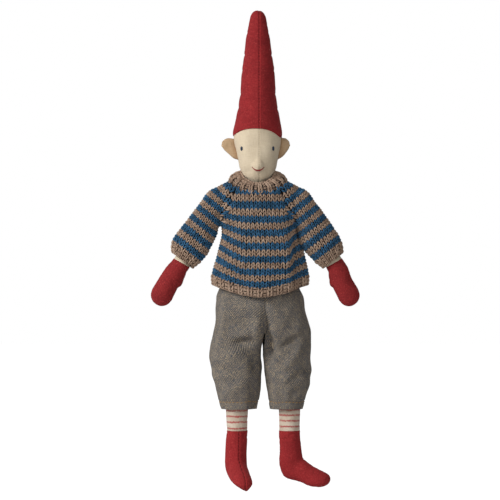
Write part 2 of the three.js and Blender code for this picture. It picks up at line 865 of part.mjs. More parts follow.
const seatShape = {
  bottom: crotchHeight + 1,
  top: trouserWaist + overrun,
  bottomCap: crotchDrop * 0.88,
  topCap: 1,
  steps: 3,
  around: 20,
  shift: () => centreSeamShift,
  width: through([
    [hipHeight, seatWidth],
    [hipHeight + trouserRise / 2, seatWidth * 0.93],
    [trouserWaist, trouserWaistWidth],
  ]),
  depth: through([
    [hipHeight, seatDepth * 0.9],
    [hipHeight + trouserRise / 3, seatDepth],
    [trouserWaist, trouserWaistDepth],
  ]),
};

function trouserHull(grow) {
  const seat = toSolid(uprightForm(seatShape, grow));
  const left = toSolid(uprightForm(trouserLegShape(-1), grow));
  const right = toSolid(uprightForm(trouserLegShape(1), grow));
  return seat.add(left).add(right);
}

const trouserShell = trouserHull(0).subtract(trouserHull(-trouserThickness));

// Legs: a thigh hangs in each trouser leg and carries a lower leg with stocking and boot
function thighShape(side) {
  const hip = hipShift + (side * hipSpacing) / 2;
  const knee = hipShift + (side * legSpacing) / 2;
  return {
    bottom: kneeHeight - overrun,
    top: hipHeight + hipDepth / 2,
    bottomCap: 1,
    topCap: hipDepth / 2,
    steps: 2,
    around: 12,
    shift: through([[kneeHeight, knee], [kneeHeight + thighLength, hip]]),
    width: through([[kneeHeight, kneeWidth], [hipHeight, hipWidth]]),
    depth: through([[kneeHeight, kneeWidth], [hipHeight, hipDepth]]),
  };
}

// A lower leg bends at the ankle and runs on into the foot. Its sections stay square to the path.
function lowerLegForm(grow) {
  const around = 12;
  const turn = (90 - footTilt) * degrees;
  const bendLength = ankleBend * turn;
  const start = kneeHeight + overrun;
  const shaft = start - ankleHeight;
  const toe = shaft + bendLength + footReach + grow;
  const cap = toeThickness / 2 + grow;
  const place = (travel) => {
    if (travel < shaft) return { forward: 0, height: start - travel, angle: 0 };
    const angle = Math.min((travel - shaft) / ankleBend, turn);
    const beyond = Math.max(travel - shaft - bendLength, 0);
    return {
      forward: ankleBend * (1 - Math.cos(angle)) + beyond * Math.sin(turn),
      height: ankleHeight - ankleBend * Math.sin(angle) - beyond * Math.cos(turn),
      angle,
    };
  };
  const instep = shaft + bendLength;
  const toeStart = instep + footReach - toeLength;
  const width = through([
    [overrun, kneeWidth], [shaft - bootShaft, shinWidth], [shaft, shinWidth],
    [instep, footWidth], [toeStart, toeWidth],
  ]);
  const thickness = through([
    [overrun, kneeWidth], [shaft - bootShaft, shinDepth], [shaft, shinDepth],
    [instep, footThickness], [toeStart, toeThickness],
  ]);
  const levels = [];
  for (let i = 0; i < 4; i += 1) levels.push({ travel: (shaft * i) / 4, swell: 1 });
  for (let i = 0; i <= 4; i += 1) levels.push({ travel: shaft + (bendLength * i) / 4, swell: 1 });
  levels.push({ travel: (instep + toe - cap) / 2, swell: 1 });
  for (let i = 3; i >= 1; i -= 1) {
    const opened = (i / 3) * 90 * degrees;
    levels.push({ travel: toe - cap * (1 - Math.cos(opened)), swell: Math.sin(opened) });
  }
  const ankle = shaft + bendLength / 2;
  const heel = (travel) => heelReach * Math.exp(-(((travel - ankle) / heelBreadth) ** 2));
  const rings = levels.map(({ travel, swell }) => {
    const { forward, height, angle } = place(travel);
    const ring = [];
    for (let i = 0; i < around; i += 1) {
      const round = (i / around) * 2 * Math.PI;
      const x = (width(travel) / 2 + grow) * swell * Math.cos(round);
      const back = Math.max(0, -Math.sin(round)) * heel(travel);
      const out = (thickness(travel) / 2 + grow) * swell * Math.sin(round) - back;
      ring.push(new THREE.Vector3(x, -forward - out * Math.cos(angle), height + out * Math.sin(angle)));
    }
    return ring;
  });
  const end = place(toe);
  return toSolid(loft(
    rings, new THREE.Vector3(0, 0, place(0).height), new THREE.Vector3(0, -end.forward, end.height)));
}

const legGroups = {};
const thighGroups = {};
for (const [side, name] of [[-1, 'left'], [1, 'right']]) {
  const thigh = new THREE.Group();
  const thighForm = (grow) => toSolid(uprightForm(thighShape(side), grow));
  const aboveKnee = slab(kneeHeight + seamGap, 4 * farAway);
  const thighCover = thighForm(0).subtract(thighForm(-linenThickness)).intersect(aboveKnee);
  piece(thigh, `thigh_cover_${name}`, thighCover, bodyLinen);
  const thighStuffing = thighForm(-linenThickness - seamGap).intersect(aboveKnee);
  piece(thigh, `thigh_stuffing_${name}`, thighStuffing, stuffingWhite);

  const half = side < 0
    ? sideways(-farAway, centreSeamShift - seamGap / 2)
    : sideways(centreSeamShift + seamGap / 2, farAway);
  const hemTop = trouserEnd + trouserHemDepth;
  const leg = trouserShell.intersect(half).intersect(slab(hemTop + seamGap, trouserWaist));
  piece(thigh, `trousers_${name}`, leg, trouserGrey);
  const hem = trouserShell.intersect(half).intersect(slab(trouserEnd, hemTop));
  piece(thigh, `trouser_hem_${name}`, hem, trouserGrey);
  thighGroups[name] = thigh;

  const lower = new THREE.Group();
  lower.position.x = hipShift + (side * legSpacing) / 2;
  lower.rotation.z = (side < 0 ? leftFootTurn : rightFootTurn) * degrees;
  const skin = lowerLegForm(0).subtract(lowerLegForm(-jerseyThickness));
  piece(lower, `stocking_${name}`, skin.intersect(slab(bootTop + seamGap, kneeHeight)), stockingLinen);
  const boot = skin.intersect(slab(-farAway, bootTop));
  const leftHalf = boot.intersect(sideways(-farAway, -seamGap / 2));
  const rightHalf = boot.intersect(sideways(seamGap / 2, farAway));
  piece(lower, `boot_inner_${name}`, side < 0 ? rightHalf : leftHalf, bootRed);
  piece(lower, `boot_outer_${name}`, side < 0 ? leftHalf : rightHalf, bootRed);
  const legStuffing = lowerLegForm(-jerseyThickness - seamGap).intersect(slab(-farAway, kneeHeight));
  piece(lower, `leg_stuffing_${name}`, legStuffing, stuffingWhite);
  legGroups[name] = lower;
}

// Elastic inside the trousers' waist
{
  const gather = -trouserThickness - seamGap;
  const band = toSolid(uprightForm(seatShape, gather))
    .subtract(toSolid(uprightForm(seatShape, gather - elasticThickness)))
    .intersect(slab(trouserWaist - elasticWidth - 1, trouserWaist - 1));
  piece(torsoGroup, 'waist_elastic', band, elasticWhite);
}

const doll = new THREE.Group();
neckGroup.add(headGroup);
doll.add(torsoGroup, neckGroup);
for (const name of ['left', 'right']) {
  shoulderGroups[name].add(armGroups[name]);
  thighGroups[name].add(legGroups[name]);
  doll.add(shoulderGroups[name], thighGroups[name]);
}
doll.position.z = -holdHeight;

export default doll;
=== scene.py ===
import math
from contextlib import contextmanager

import bpy
import numpy as np
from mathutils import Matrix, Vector, noise
from mathutils.bvhtree import BVHTree


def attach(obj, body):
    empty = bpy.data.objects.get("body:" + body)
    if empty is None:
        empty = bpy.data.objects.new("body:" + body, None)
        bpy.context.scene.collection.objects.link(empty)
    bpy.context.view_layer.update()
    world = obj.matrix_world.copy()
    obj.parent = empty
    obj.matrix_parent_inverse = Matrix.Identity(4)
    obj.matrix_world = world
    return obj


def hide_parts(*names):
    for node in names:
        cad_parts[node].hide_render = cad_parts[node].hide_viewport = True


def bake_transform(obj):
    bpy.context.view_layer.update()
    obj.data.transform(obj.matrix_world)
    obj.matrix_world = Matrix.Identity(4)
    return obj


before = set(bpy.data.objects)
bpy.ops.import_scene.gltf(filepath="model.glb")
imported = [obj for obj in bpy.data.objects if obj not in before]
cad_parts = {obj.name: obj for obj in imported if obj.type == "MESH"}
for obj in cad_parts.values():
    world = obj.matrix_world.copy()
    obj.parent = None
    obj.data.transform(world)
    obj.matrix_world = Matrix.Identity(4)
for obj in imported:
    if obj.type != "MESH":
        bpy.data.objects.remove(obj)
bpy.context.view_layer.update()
mm = 0.001
sides = {"left": -1, "right": 1}

doll = {
    "hold": 236, "chin": 313, "hatSeam": 360, "hatTop": 489.8, "hatArch": 7.6, "hatFoot": 46.6,
    "shoulder": 292.4, "shoulderSide": 42.6, "armAngle": 30, "wrist": -70.2,
    "bootTop": 60.7, "knee": 99, "legSide": 26.8, "hipShift": 5.4,
}
cloth = {"weaveUnit": 10, "seamStitch": 2.6, "shell": 0.9, "hatShell": 1.0, "trouserShell": 1.1}
random = np.random.default_rng(11)


def up(height):
    return (height - doll["hold"]) * mm


def through(pairs):  # a smooth curve through (place, value) pairs that never swings past them
    x, y = np.array(pairs, float).T
    slope = np.diff(y) / np.diff(x)
    tangent = np.zeros(len(x))
    both = slope[:-1] * slope[1:]
    tangent[1:-1] = np.where(both > 0, 2 * both / np.where(both > 0, slope[:-1] + slope[1:], 1), 0)

    def value(at):
        at = np.clip(at, x[0], x[-1])
        i = np.clip(np.searchsorted(x, at, side="right") - 1, 0, len(x) - 2)
        span = x[i + 1] - x[i]
        t = (at - x[i]) / span
        rise = t * t * (3 - 2 * t)
        lead = t * (1 - t) ** 2 * span * tangent[i]
        trail = t * t * (t - 1) * span * tangent[i + 1]
        return y[i] * (1 - rise) + y[i + 1] * rise + lead + trail

    return value


def smoothStep(low, high, at):
    t = np.clip((at - low) / (high - low), 0, 1)
    return t * t * (3 - 2 * t)


def bump(at, middle, width):  # 1 at the middle, falling off to both sides
    return np.exp(-((at - middle) / width) ** 2)


# Small helpers for objects and meshes

def only(piece):
    if bpy.context.mode != "OBJECT":
        bpy.ops.object.mode_set(mode="OBJECT")
    bpy.ops.object.select_all(action="DESELECT")
    piece.select_set(True)
    bpy.context.view_layer.objects.active = piece
    return piece


@contextmanager
def editing(piece):  # edit mode with all of the mesh selected
    only(piece)
    bpy.ops.object.mode_set(mode="EDIT")
    bpy.ops.mesh.select_all(action="SELECT")
    yield
    bpy.ops.object.mode_set(mode="OBJECT")


def linked(name, data):
    made = bpy.data.objects.new(name, data)
    bpy.context.collection.objects.link(made)
    return made


def applied(piece, kind, **settings):
    only(piece)
    modifier = piece.modifiers.new(kind, kind)
    for name, value in settings.items():
        setattr(modifier, name, value)
    bpy.ops.object.modifier_apply(modifier=modifier.name)
    return piece


def read(items, name, width=1, kind=float):
    out = np.empty(len(items) * width, kind)
    items.foreach_get(name, out)
    return out


def cornersOf(piece):  # the vertex at each face corner, how many corners each face has, its first
    counts = read(piece.data.polygons, "loop_total", kind=int)
    return read(piece.data.loops, "vertex_index", kind=int), counts, np.cumsum(counts) - counts


def pointsOf(piece):
    return read(piece.data.vertices, "co", 3).reshape(-1, 3)


def setPoints(piece, co):
    piece.data.vertices.foreach_set("co", np.ascontiguousarray(co, float).ravel())
    piece.data.update()


def axesOf(piece):  # x, y and the height above the toes of every point, in mm
    x, y, z = pointsOf(piece).T / mm
    return x, y, z + doll["hold"]


def setAxes(piece, x, y, z):
    setPoints(piece, np.stack([x, y, z - doll["hold"]], 1) * mm)


def smoothFaces(piece):
    piece.data.polygons.foreach_set("use_smooth", np.ones(len(piece.data.polygons), bool))
    piece.data.update()
    return piece


def shelled(piece, thickness):  # a bare surface made as thick as its cloth
    return smoothFaces(applied(piece, "SOLIDIFY", thickness=thickness * mm, offset=-1))


def noiseAt(piece, size, seed):  # smooth noise from -1 to 1 at each point
    shift = Vector((seed, 3.1 * seed, 0))
    return np.array([noise.noise(Vector(p) / (size * mm) + shift) for p in pointsOf(piece)])


def push(piece, amount):  # moves the surface out along its normals, in mm
    normals = read(piece.data.vertex_normals, "vector", 3).reshape(-1, 3)
    setPoints(piece, pointsOf(piece) + normals * np.reshape(amount, (-1, 1)) * mm)


def weaveLayer(piece):
    layers = piece.data.uv_layers
    layer = layers[0] if layers else layers.new()
    layer.name = "weave"
    return layer


def boxMap(piece):  # the weave laid on from six sides
    weaveLayer(piece)
    with editing(piece):
        bpy.ops.uv.cube_project(cube_size=cloth["weaveUnit"] * mm)


def wrapMap(piece, start, end, radius):  # threads run round the line from start to end
    start, end = np.array(start), np.array(end)
    along = (end - start) / np.linalg.norm(end - start)
    ahead = np.cross(along, (1, 0, 0))
    ahead /= np.linalg.norm(ahead)
    co = pointsOf(piece) - start
    angle = np.arctan2(co @ np.cross(ahead, along), co @ ahead)
    corner, counts, begin = cornersOf(piece)
    first = np.repeat(angle[corner[begin]], counts)
    turned = first + np.arctan2(np.sin(angle[corner] - first), np.cos(angle[corner] - first))
    uv = np.stack([turned * radius * mm, (co @ along)[corner]], 1) / (cloth["weaveUnit"] * mm)
    weaveLayer(piece).data.foreach_set("uv", uv.ravel())


# Shader maths, written as sums of wires

class Wire:
    def __init__(self, shade, socket):
        self.shade = shade
        self.socket = socket

    def maths(self, operation, *others):
        inputs = dict(enumerate((self, *others)))
        return self.shade.node("ShaderNodeMath", {"operation": operation}, inputs)

    def __add__(self, other):
        return self.maths("ADD", other)

    def __mul__(self, other):
        return self.maths("MULTIPLY", other)

    def __sub__(self, other):
        return self.maths("SUBTRACT", other)

    def __rsub__(self, other):
        return self.shade.node("ShaderNodeMath", {"operation": "SUBTRACT"}, {0: other, 1: self})

    def __abs__(self):
        return self.maths("ABSOLUTE")


class Shade:
    def __init__(self, name, store="materials"):
        self.owner = getattr(bpy.data, store).new(name)
        self.owner.use_nodes = True
        self.tree = self.owner.node_tree
        self.tree.nodes.clear()

    def node(self, kind, settings=None, inputs=None, output=0):
        made = self.tree.nodes.new(kind)
        for name, value in (settings or {}).items():
            setattr(made, name, value)
        for name, value in (inputs or {}).items():
            if isinstance(value, Wire):
                self.tree.links.new(value.socket, made.inputs[name])
            else:
                made.inputs[name].default_value = value
        return Wire(self, made.outputs[output]) if made.outputs else made

    def objectPoint(self):
        return self.node("ShaderNodeTexCoord", output="Object")

    def mapped(self, name):
        return self.axes(self.node("ShaderNodeUVMap", {"uv_map": name}))[:2]

    def axes(self, point):
        return [self.node("ShaderNodeSeparateXYZ", inputs={0: point}, output=i) for i in range(3)]

    def point(self, x, y, z=0.0):
        return self.node("ShaderNodeCombineXYZ", inputs={0: x, 1: y, 2: z})

    def noise(self, point, scale, detail=2.0, rough=0.5):
        return self.node("ShaderNodeTexNoise", inputs={
            "Vector": point, "Scale": scale, "Detail": detail, "Roughness": rough})

    def smooth(self, value, low, high, start=0.0, end=1.0):
        return self.node("ShaderNodeMapRange", {"interpolation_type": "SMOOTHSTEP"}, {
            0: value, 1: low, 2: high, 3: start, 4: end})

    def mix(self, factor, first, second):
        first, second = (colour(c) if isinstance(c, str) else c for c in (first, second))
        return self.node("ShaderNodeMix", {"data_type": "RGBA"}, {
            0: factor, 6: first, 7: second}, output=2)

    def attribute(self, name):
        return self.node("ShaderNodeAttribute", {"attribute_name": name}, output="Fac")

    def finish(self, base, roughness, height, relief, depth, sheen=0.0, **more):
        normal = self.node("ShaderNodeBump", inputs={
            "Strength": relief, "Distance": depth, "Height": height})
        shader = self.node("ShaderNodeBsdfPrincipled", inputs={
            "Base Color": base, "Roughness": roughness, "Specular IOR Level": 0.12,
            "Normal": normal, "Sheen Weight": sheen, **more})
        self.node("ShaderNodeOutputMaterial", inputs={0: shader})
        return self.owner


def colour(text):  # "#rrggbb" as the linear colour that a socket takes
    parts = [int(text[i:i + 2], 16) / 255 for i in (1, 3, 5)]
    return (*[c / 12.92 if c <= 0.04045 else ((c + 0.055) / 1.055) ** 2.4 for c in parts], 1.0)


def sine(wire, turns):  # the number of turns is to one unit of the wire
    return (wire * (2 * math.pi * turns)).maths("SINE")


def wave(wire, turns=1.0):  # from 0 to 1 and back
    return sine(wire, turns) * 0.5 + 0.5


def bell(wire, width):  # 1 where the wire is 0, falling to 0 over the width
    return wire.shade.smooth(abs(wire), 0.0, width, 1.0, 0.0)


def plainWeave(u, v, threads):  # height of a cloth with so many threads to 10 mm
    a, b = sine(u, threads / 2), sine(v, threads / 2)
    over = a * b * 0.5 + 0.5
    return (abs(a) * over).maths("MAXIMUM", abs(b) * (1 - over))


def twillWeave(u, v, threads):
    over = u.shade.smooth(wave(u + v, threads / 4), 0.35, 0.65)
    warp, weft = abs(sine(u, threads / 2)), abs(sine(v, threads / 2))
    return (warp * over).maths("MAXIMUM", weft * (1 - over) * 0.8)


# Cloths and yarns

def sewnLine(point, normal, offset, low, high, stitch):
    # a seam in the plane of normal and offset: its dark line, its stitches and the ridge beside it
    shade = point.shade
    x, y, z = shade.axes(point)
    side = x * normal[0] + y * normal[1] + z * normal[2] - offset
    reach = shade.smooth(z, low, low + 0.003) * shade.smooth(z, high, high - 0.003)
    return bell(side, 0.0007) * reach, wave(z, 1 / stitch), bell(side - 0.0013, 0.0009) * reach


def linenCloth(name, tint, dark, seams=(), root=None):
    # ink is the colour of the seams' dark line and of the painted shade between the threads
    ink, threads, stitch = "#8c795d", 17, 0.0022
    shade = Shade(name)
    point = shade.objectPoint()
    u, v = shade.mapped("weave")
    height = plainWeave(u, v, threads)
    slubs = (shade.noise(shade.point(u * 15, v * 1.6), 1.0) * 0.5
             + shade.noise(shade.point(u * 1.6, v * 15), 1.0) * 0.5)
    cloud = shade.noise(point, 45.0, 3.0)
    base = shade.mix(shade.smooth(slubs * 0.6 + cloud * 0.4, 0.34, 0.64), dark, tint)
    # painted shade: darker in the gaps between the threads
    base = shade.mix(shade.smooth(height, 0.25, 0.0, 0.0, 0.2), base, ink)
    if root:  # darker toward the head
        x = shade.axes(point)[0]
        # painted shade where the ear meets the head: darker and browner toward it
        base = shade.mix(shade.smooth(abs(x), *root, 0.0, 0.45), base, "#8a6444")
    rise = height * 0.5 + slubs * 0.3
    for seam in seams:
        line, dots, ridge = sewnLine(point, *seam, stitch)
        base = shade.mix(line * (dots * 0.35 + 0.25), base, ink)
        rise = rise - line * (dots + 1.0) + ridge * 0.8
    return shade.finish(base, 0.92, rise, 0.5, 0.0002, sheen=0.15)


def cottonCloth(name, tint, dark, seams=()):
    threads, stitch = 20, 0.0031
    shade = Shade(name)
    point = shade.objectPoint()
    u, v = shade.mapped("weave")
    height = twillWeave(u, v, threads)
    cloud = shade.noise(point, 60.0, 4.0, 0.6)
    fine = shade.noise(shade.point(u * 10, v * 7), 1.0, 2.0, 0.6)
    nap = shade.noise(point, 700.0, 2.0, 0.7)
    base = shade.mix(shade.smooth(cloud * 0.3 + fine * 0.3 + nap * 0.4, 0.38, 0.62), dark, tint)
    # painted shade: darker in the gaps of the twill
    base = shade.mix(shade.smooth(height, 0.3, 0.0, 0.0, 0.3), base, "#3d0c0e")
    base = shade.mix(shade.smooth(nap, 0.60, 0.72, 0.0, 0.4), base, "#b8504a")
    lint = shade.smooth(shade.noise(point, 1900.0, 1.0), 0.71, 0.79)
    base = shade.mix(lint * 0.25, base, "#c58a80")
    rise = height * 0.4 + fine * 0.3 + nap * 0.6
    for seam in seams:
        line, dots, ridge = sewnLine(point, *seam, stitch)
        # painted highlight: the raised ridge beside the seam is painted lighter
        base = shade.mix(ridge * 0.35, base, "#b03030")
        base = shade.mix(line * (shade.smooth(dots, 0.3, 0.6) * 0.65 + 0.25), base, "#2a0608")
        rise = rise - line * (dots + 1.2) + ridge * 1.2
    return shade.finish(base, 0.9, rise, 0.6, 0.00028, sheen=0.06, **{
        "Sheen Roughness": 0.45, "Sheen Tint": colour("#c8564e")})


# tint and dark are the yarn's own colours, fleck its marl's light fibres, and deep the painted shade
# between stitches
def yarnCloth(name, tint, dark, deep, fleck):
    shade = Shade(name)
    along, around = shade.mapped("yarn")
    tone = shade.attribute("tone")
    lift = shade.attribute("lift")
    ply = wave(along * 3.2 + around * 2.0)
    fuzz = shade.noise(shade.point(along * 9 + tone * 31, around * 5 - along * 6), 1.6, 3.0, 0.65)
    base = shade.mix(shade.smooth(fuzz * 0.5 + tone * 0.5, 0.25, 0.75), dark, tint)
    base = shade.mix(shade.smooth(fuzz, 0.60, 0.74, 0.0, 0.4), base, fleck)
    # painted shade: darker in the grooves between the plies
    base = shade.mix(shade.smooth(ply, 0.28, 0.0, 0.0, 0.35), base, dark)
    # painted shade: where the yarn sinks between stitches, low in lift, it takes the deep colour
    base = shade.mix(shade.smooth(lift, 0.8, -0.35, 0.0, 0.94), base, deep)
    return shade.finish(base, 0.95, ply * 0.7 + fuzz * 0.5, 0.7, 0.0003, sheen=0.08)


# The inner side is coloured as the yarn stripes in deep painted shade and stands for the shade between
# stitches
def shadedKnitBack(name):  # the inner side of the knitting, seen only between stitches
    shade = Shade(name)
    column, row = shade.mapped("knit")
    band = sine(row - 0.5, 0.25) * -1
    loops = sine(column, 1) * sine(row, 1) * 0.5 + 0.5
    base = shade.mix(shade.smooth(band, -0.1, 0.1), "#0d1a24", "#2b211b")
    base = shade.mix(shade.smooth(row, 0.05, -0.05), base, "#2b211b")
    # painted shade, darkest in the loops
    base = shade.mix(loops * 0.5, base, "#0f0c0a")
    return shade.finish(base, 1.0, loops, 0.8, 0.0006)


def trouserCloth(name):
    shade = Shade(name)
    u, v = shade.mapped("weave")
    drift = shade.noise(shade.point(u, v, 7.0), 0.8, 2.0) * 0.25
    slant = wave(u - v + drift, 4.0)
    mottle = shade.noise(shade.point(u * 8.5, v * 8.5), 1.0, 2.0, 0.7)
    warpTone = shade.noise(shade.point(u * 11.0, v * 2.5), 1.0, 2.0, 0.6)
    weftTone = shade.noise(shade.point(u * 2.5, v * 11.0), 1.0, 2.0, 0.6)
    cloud = shade.noise(shade.point(u, v), 1.5, 3.0, 0.6)
    where = shade.smooth(shade.noise(shade.point(u, v, 3.0), 0.8, 2.0), 0.4, 0.6)
    yarns = mottle * 0.5 + warpTone * 0.25 + weftTone * 0.25
    base = shade.mix(shade.smooth(yarns, 0.38, 0.60), "#52555a", "#948674")
    base = shade.mix(shade.smooth(mottle, 0.56, 0.66, 0.0, 0.85), base, "#c0aa88")
    base = shade.mix(shade.smooth(warpTone, 0.43, 0.31, 0.0, 0.7), base, "#3b4856")
    # the twill's dark diagonal lines, deepest in its grooves: partly the yarns' colour, partly painted
    # shade
    base = shade.mix(shade.smooth(slant, 0.55, 0.1) * (where * 0.5 + 0.35), base, "#353331")
    base = shade.mix(shade.smooth(cloud, 0.40, 0.64, 0.0, 0.35), base, "#50545a")
    return shade.finish(base, 0.95, slant * 0.6 + mottle * 0.8, 0.8, 0.0005, sheen=0.05)


def jerseyCloth(name, stripes):
    shade = Shade(name)
    point = shade.objectPoint()
    z = shade.axes(point)[2]
    u, v = shade.mapped("weave")
    wale = abs(sine(u, 5.5))
    loop = abs((v * (math.pi * 14) + wale * 1.6).maths("SINE"))
    base = shade.mix(shade.smooth(shade.noise(point, 120.0, 3.0), 0.3, 0.7), "#c3b29e", "#d5c6b4")
    wander = (shade.noise(point, 160.0, 2.0) - 0.5) * 0.0018 + sine(u, 6.2) * 0.0004
    worn = shade.smooth(shade.noise(point, 800.0, 2.0), 0.32, 0.52, 0.45, 0.95)
    for place in stripes:
        stripe = shade.smooth(abs(z - up(place) + wander), 0.0012, 0.0005)
        base = shade.mix(stripe * worn, base, "#a8403f")
    # painted shade: darker between the loops
    base = shade.mix(shade.smooth(wale * loop, 0.3, 0.0, 0.0, 0.25), base, "#8f7d6c")
    return shade.finish(base, 0.92, wale * loop, 0.6, 0.0003, sheen=0.2)


def threadCloth(name, tint, dark, shine=0.55):
    shade = Shade(name)
    point = shade.objectPoint()
    x, y, z = shade.axes(point)
    twist = wave(z + x * 0.7, 9000 / (2 * math.pi))
    tuft = shade.noise(point, 1500.0, 2.0)
    base = shade.mix(shade.smooth(twist * 0.5 + tuft * 0.5, 0.25, 0.75), dark, tint)
    return shade.finish(base, shine, twist, 0.5, 0.0002, sheen=0.2)


def ink(piece, *materials):
    piece.data.materials.clear()
    for material in materials:
        piece.data.materials.append(material)
    return piece


# Camera, lights, floor. The picture is 500 x 500 and 510 mm wide at the doll.

view = {"distance": 2.6, "x": -8.1, "z": 8.8, "width": 510, "sensor": 36}
cameraData = bpy.data.cameras.new("camera")
cameraData.lens = view["sensor"] * view["distance"] / (view["width"] * mm)
camera = linked("camera", cameraData)
camera.location = (view["x"] * mm, -view["distance"], view["z"] * mm)
camera.rotation_euler = (math.pi / 2, 0, 0)
bpy.context.scene.camera = camera
bpy.context.scene.view_settings.view_transform = "Standard"

lamps = {
    "keyLamp": {"place": (-2.0, -1.3, 1.15), "size": 1.0, "power": 56},
    "frontLamp": {"place": (-0.3, -2.6, 0.8), "size": 1.8, "power": 15},
    "backLamp": {"place": (0.6, 1.9, 1.4), "size": 1.4, "power": 6},
}
for name, lamp in lamps.items():
    data = bpy.data.lights.new(name, "AREA")
    data.size = lamp["size"]
    data.energy = lamp["power"]
    made = linked(name, data)
    made.location = lamp["place"]
    made.rotation_euler = (-Vector(lamp["place"])).to_track_quat("-Z", "Y").to_euler()

# The world is plain white to the camera, to mirrors and through glass, and dimmer as light
studio = Shade("studio", "worlds")
bpy.context.scene.world = studio.owner
light = {"ambient": 0.23, "floorGlow": 1.12, "floorShare": 0.9, "floorGrey": 0.86}
white = studio.node("ShaderNodeLightPath", output="Is Camera Ray")
for kind in ("Is Glossy Ray", "Is Transmission Ray"):
    white = white.maths("MAXIMUM", studio.node("ShaderNodeLightPath", output=kind))
strength = studio.node("ShaderNodeMapRange", inputs={0: white, 3: light["ambient"], 4: 1.0})
sky = studio.node("ShaderNodeBackground", inputs={0: (1, 1, 1, 1), 1: strength})
studio.node("ShaderNodeOutputWorld", inputs={0: sky})

bpy.ops.mesh.primitive_plane_add(size=8, location=(0, 0, up(0) - 0.6 * mm))
floor = bpy.context.active_object
floor.name = "floor"
shade = Shade("floor_white")
seen = shade.node("ShaderNodeLightPath", output="Is Camera Ray") * light["floorShare"]
glow = shade.node("ShaderNodeEmission", inputs={0: (1, 1, 1, 1), 1: light["floorGlow"]})
paint = shade.node("ShaderNodeBsdfDiffuse", inputs={0: (*[light["floorGrey"]] * 3, 1)})
mixed = shade.node("ShaderNodeMixShader", inputs={0: seen, 1: paint, 2: glow})
shade.node("ShaderNodeOutputMaterial", inputs={0: mixed})
ink(floor, shade.owner)
print("camera, lights and floor")


# Stuffed pieces: a copy of the stuffing grown to the cloth, swelled by cloth simulation while it
# is held along its seams, then sewn in along them

stuffing = {
    "quality": 5, "tension_stiffness": 1, "compression_stiffness": 1, "shear_stiffness": 1,
    "bending_stiffness": 0.02, "use_pressure": True, "uniform_pressure_force": 150,
}


def stuffed(name, node, grow, voxel, swell, cap, seams=(), frames=12):
    # voxel is the size of a face, swell a share of it, and no point moves more than the cap
    piece = linked(name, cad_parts[node].data.copy())
    piece.data.materials.clear()
    with editing(piece):
        bpy.ops.mesh.remove_doubles(threshold=0.00001)
    applied(piece, "REMESH", mode="VOXEL", voxel_size=voxel * mm)
    applied(piece, "SMOOTH", factor=0.5, iterations=5)
    push(piece, grow)
    start = pointsOf(piece)
    held = np.zeros(len(start), bool)
    for normal, offset in seams:
        held |= np.abs(start @ np.array(normal) - offset) < 0.6 * voxel * mm
    sewn = piece.vertex_groups.new(name="sewn")
    sewn.add([int(i) for i in np.where(held)[0]], 1.0, "REPLACE")
    soft = piece.modifiers.new("cloth", "CLOTH")
    for setting, value in {**stuffing, "shrink_min": -swell, "vertex_group_mass": "sewn"}.items():
        setattr(soft.settings, setting, value)
    soft.settings.effector_weights.gravity = 0
    soft.collision_settings.use_collision = False
    soft.point_cache.frame_end = frames
    for step in range(1, frames + 1):
        bpy.context.scene.frame_set(step)
    only(piece)
    bpy.ops.object.modifier_apply(modifier=soft.name)
    bpy.context.scene.frame_set(1)
    moved = pointsOf(piece) - start
    length = np.linalg.norm(moved, axis=1, keepdims=True)
    setPoints(piece, start + moved * np.minimum(1, cap * mm / np.maximum(length, 1e-9)))
    piece.vertex_groups.clear()
    applied(piece, "SUBSURF", levels=1, render_levels=1)
    return smoothFaces(piece)


def sewIn(piece, normal, offset, depth, width):  # draws the cloth in along a seam, stitch by stitch
    co = pointsOf(piece)
    away = (co @ np.array(normal) - offset) / (width * mm)
    pull = 0.8 + 0.2 * np.cos(co[:, 2] * 2 * math.pi / (cloth["seamStitch"] * mm))
    push(piece, -depth * np.exp(-away ** 2) * pull)


def parted(piece, upperName, lowerName, plane, normal=(0, 0, 1), arch=None, lap=0.0):
    # cuts a stuffed form in two along a line that may arch over x; the lower one may run on under it
    def bent(half, sign):
        if arch:
            x, y, z = axesOf(half)
            setAxes(half, x, y, z + sign * arch(x))

    bent(piece, -1)
    lower = linked(lowerName, piece.data.copy())
    for half, upper in ((piece, True), (lower, False)):
        place = plane if upper else Vector(plane) + Vector(normal) * lap * mm
        with editing(half):
            bpy.ops.mesh.bisect(plane_co=place, plane_no=normal,
                                clear_inner=upper, clear_outer=not upper)
        bent(half, 1)
    piece.name = upperName
    return piece, lower


def dressed(piece, look, body, nodes):
    ink(piece, look)
    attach(piece, body)
    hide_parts(*nodes)


head = {
    "seam": 1.2, "archMiddle": -2.5, "archFoot": 0.6, "lap": 4, "rimLift": 1.15, "rimTake": 0.35,
    "hatLift": 0.15, "tipTake": 0.7, "keel": 1.5, "faceKeel": 0.22, "keelWidth": 8, "keelFade": 20,
}


def hatArch(x):  # the lower edge of the hat is flat over the brow and drops to the ears
    across = np.abs(np.clip((x - head["archMiddle"]) / (doll["hatFoot"] / 2 + 1), -1, 1))
    return (doll["hatArch"] + head["archFoot"]) * (1 - across ** 2.7) - head["archFoot"]


whole = stuffed("hat", "head_stuffing", 1.35, 1.6, 0.02, 1.0, [((1, 0, 0), head["seam"] * mm)])
wrapMap(whole, (0, 0, up(doll["chin"])), (0, 0, up(doll["hatTop"])), 20)
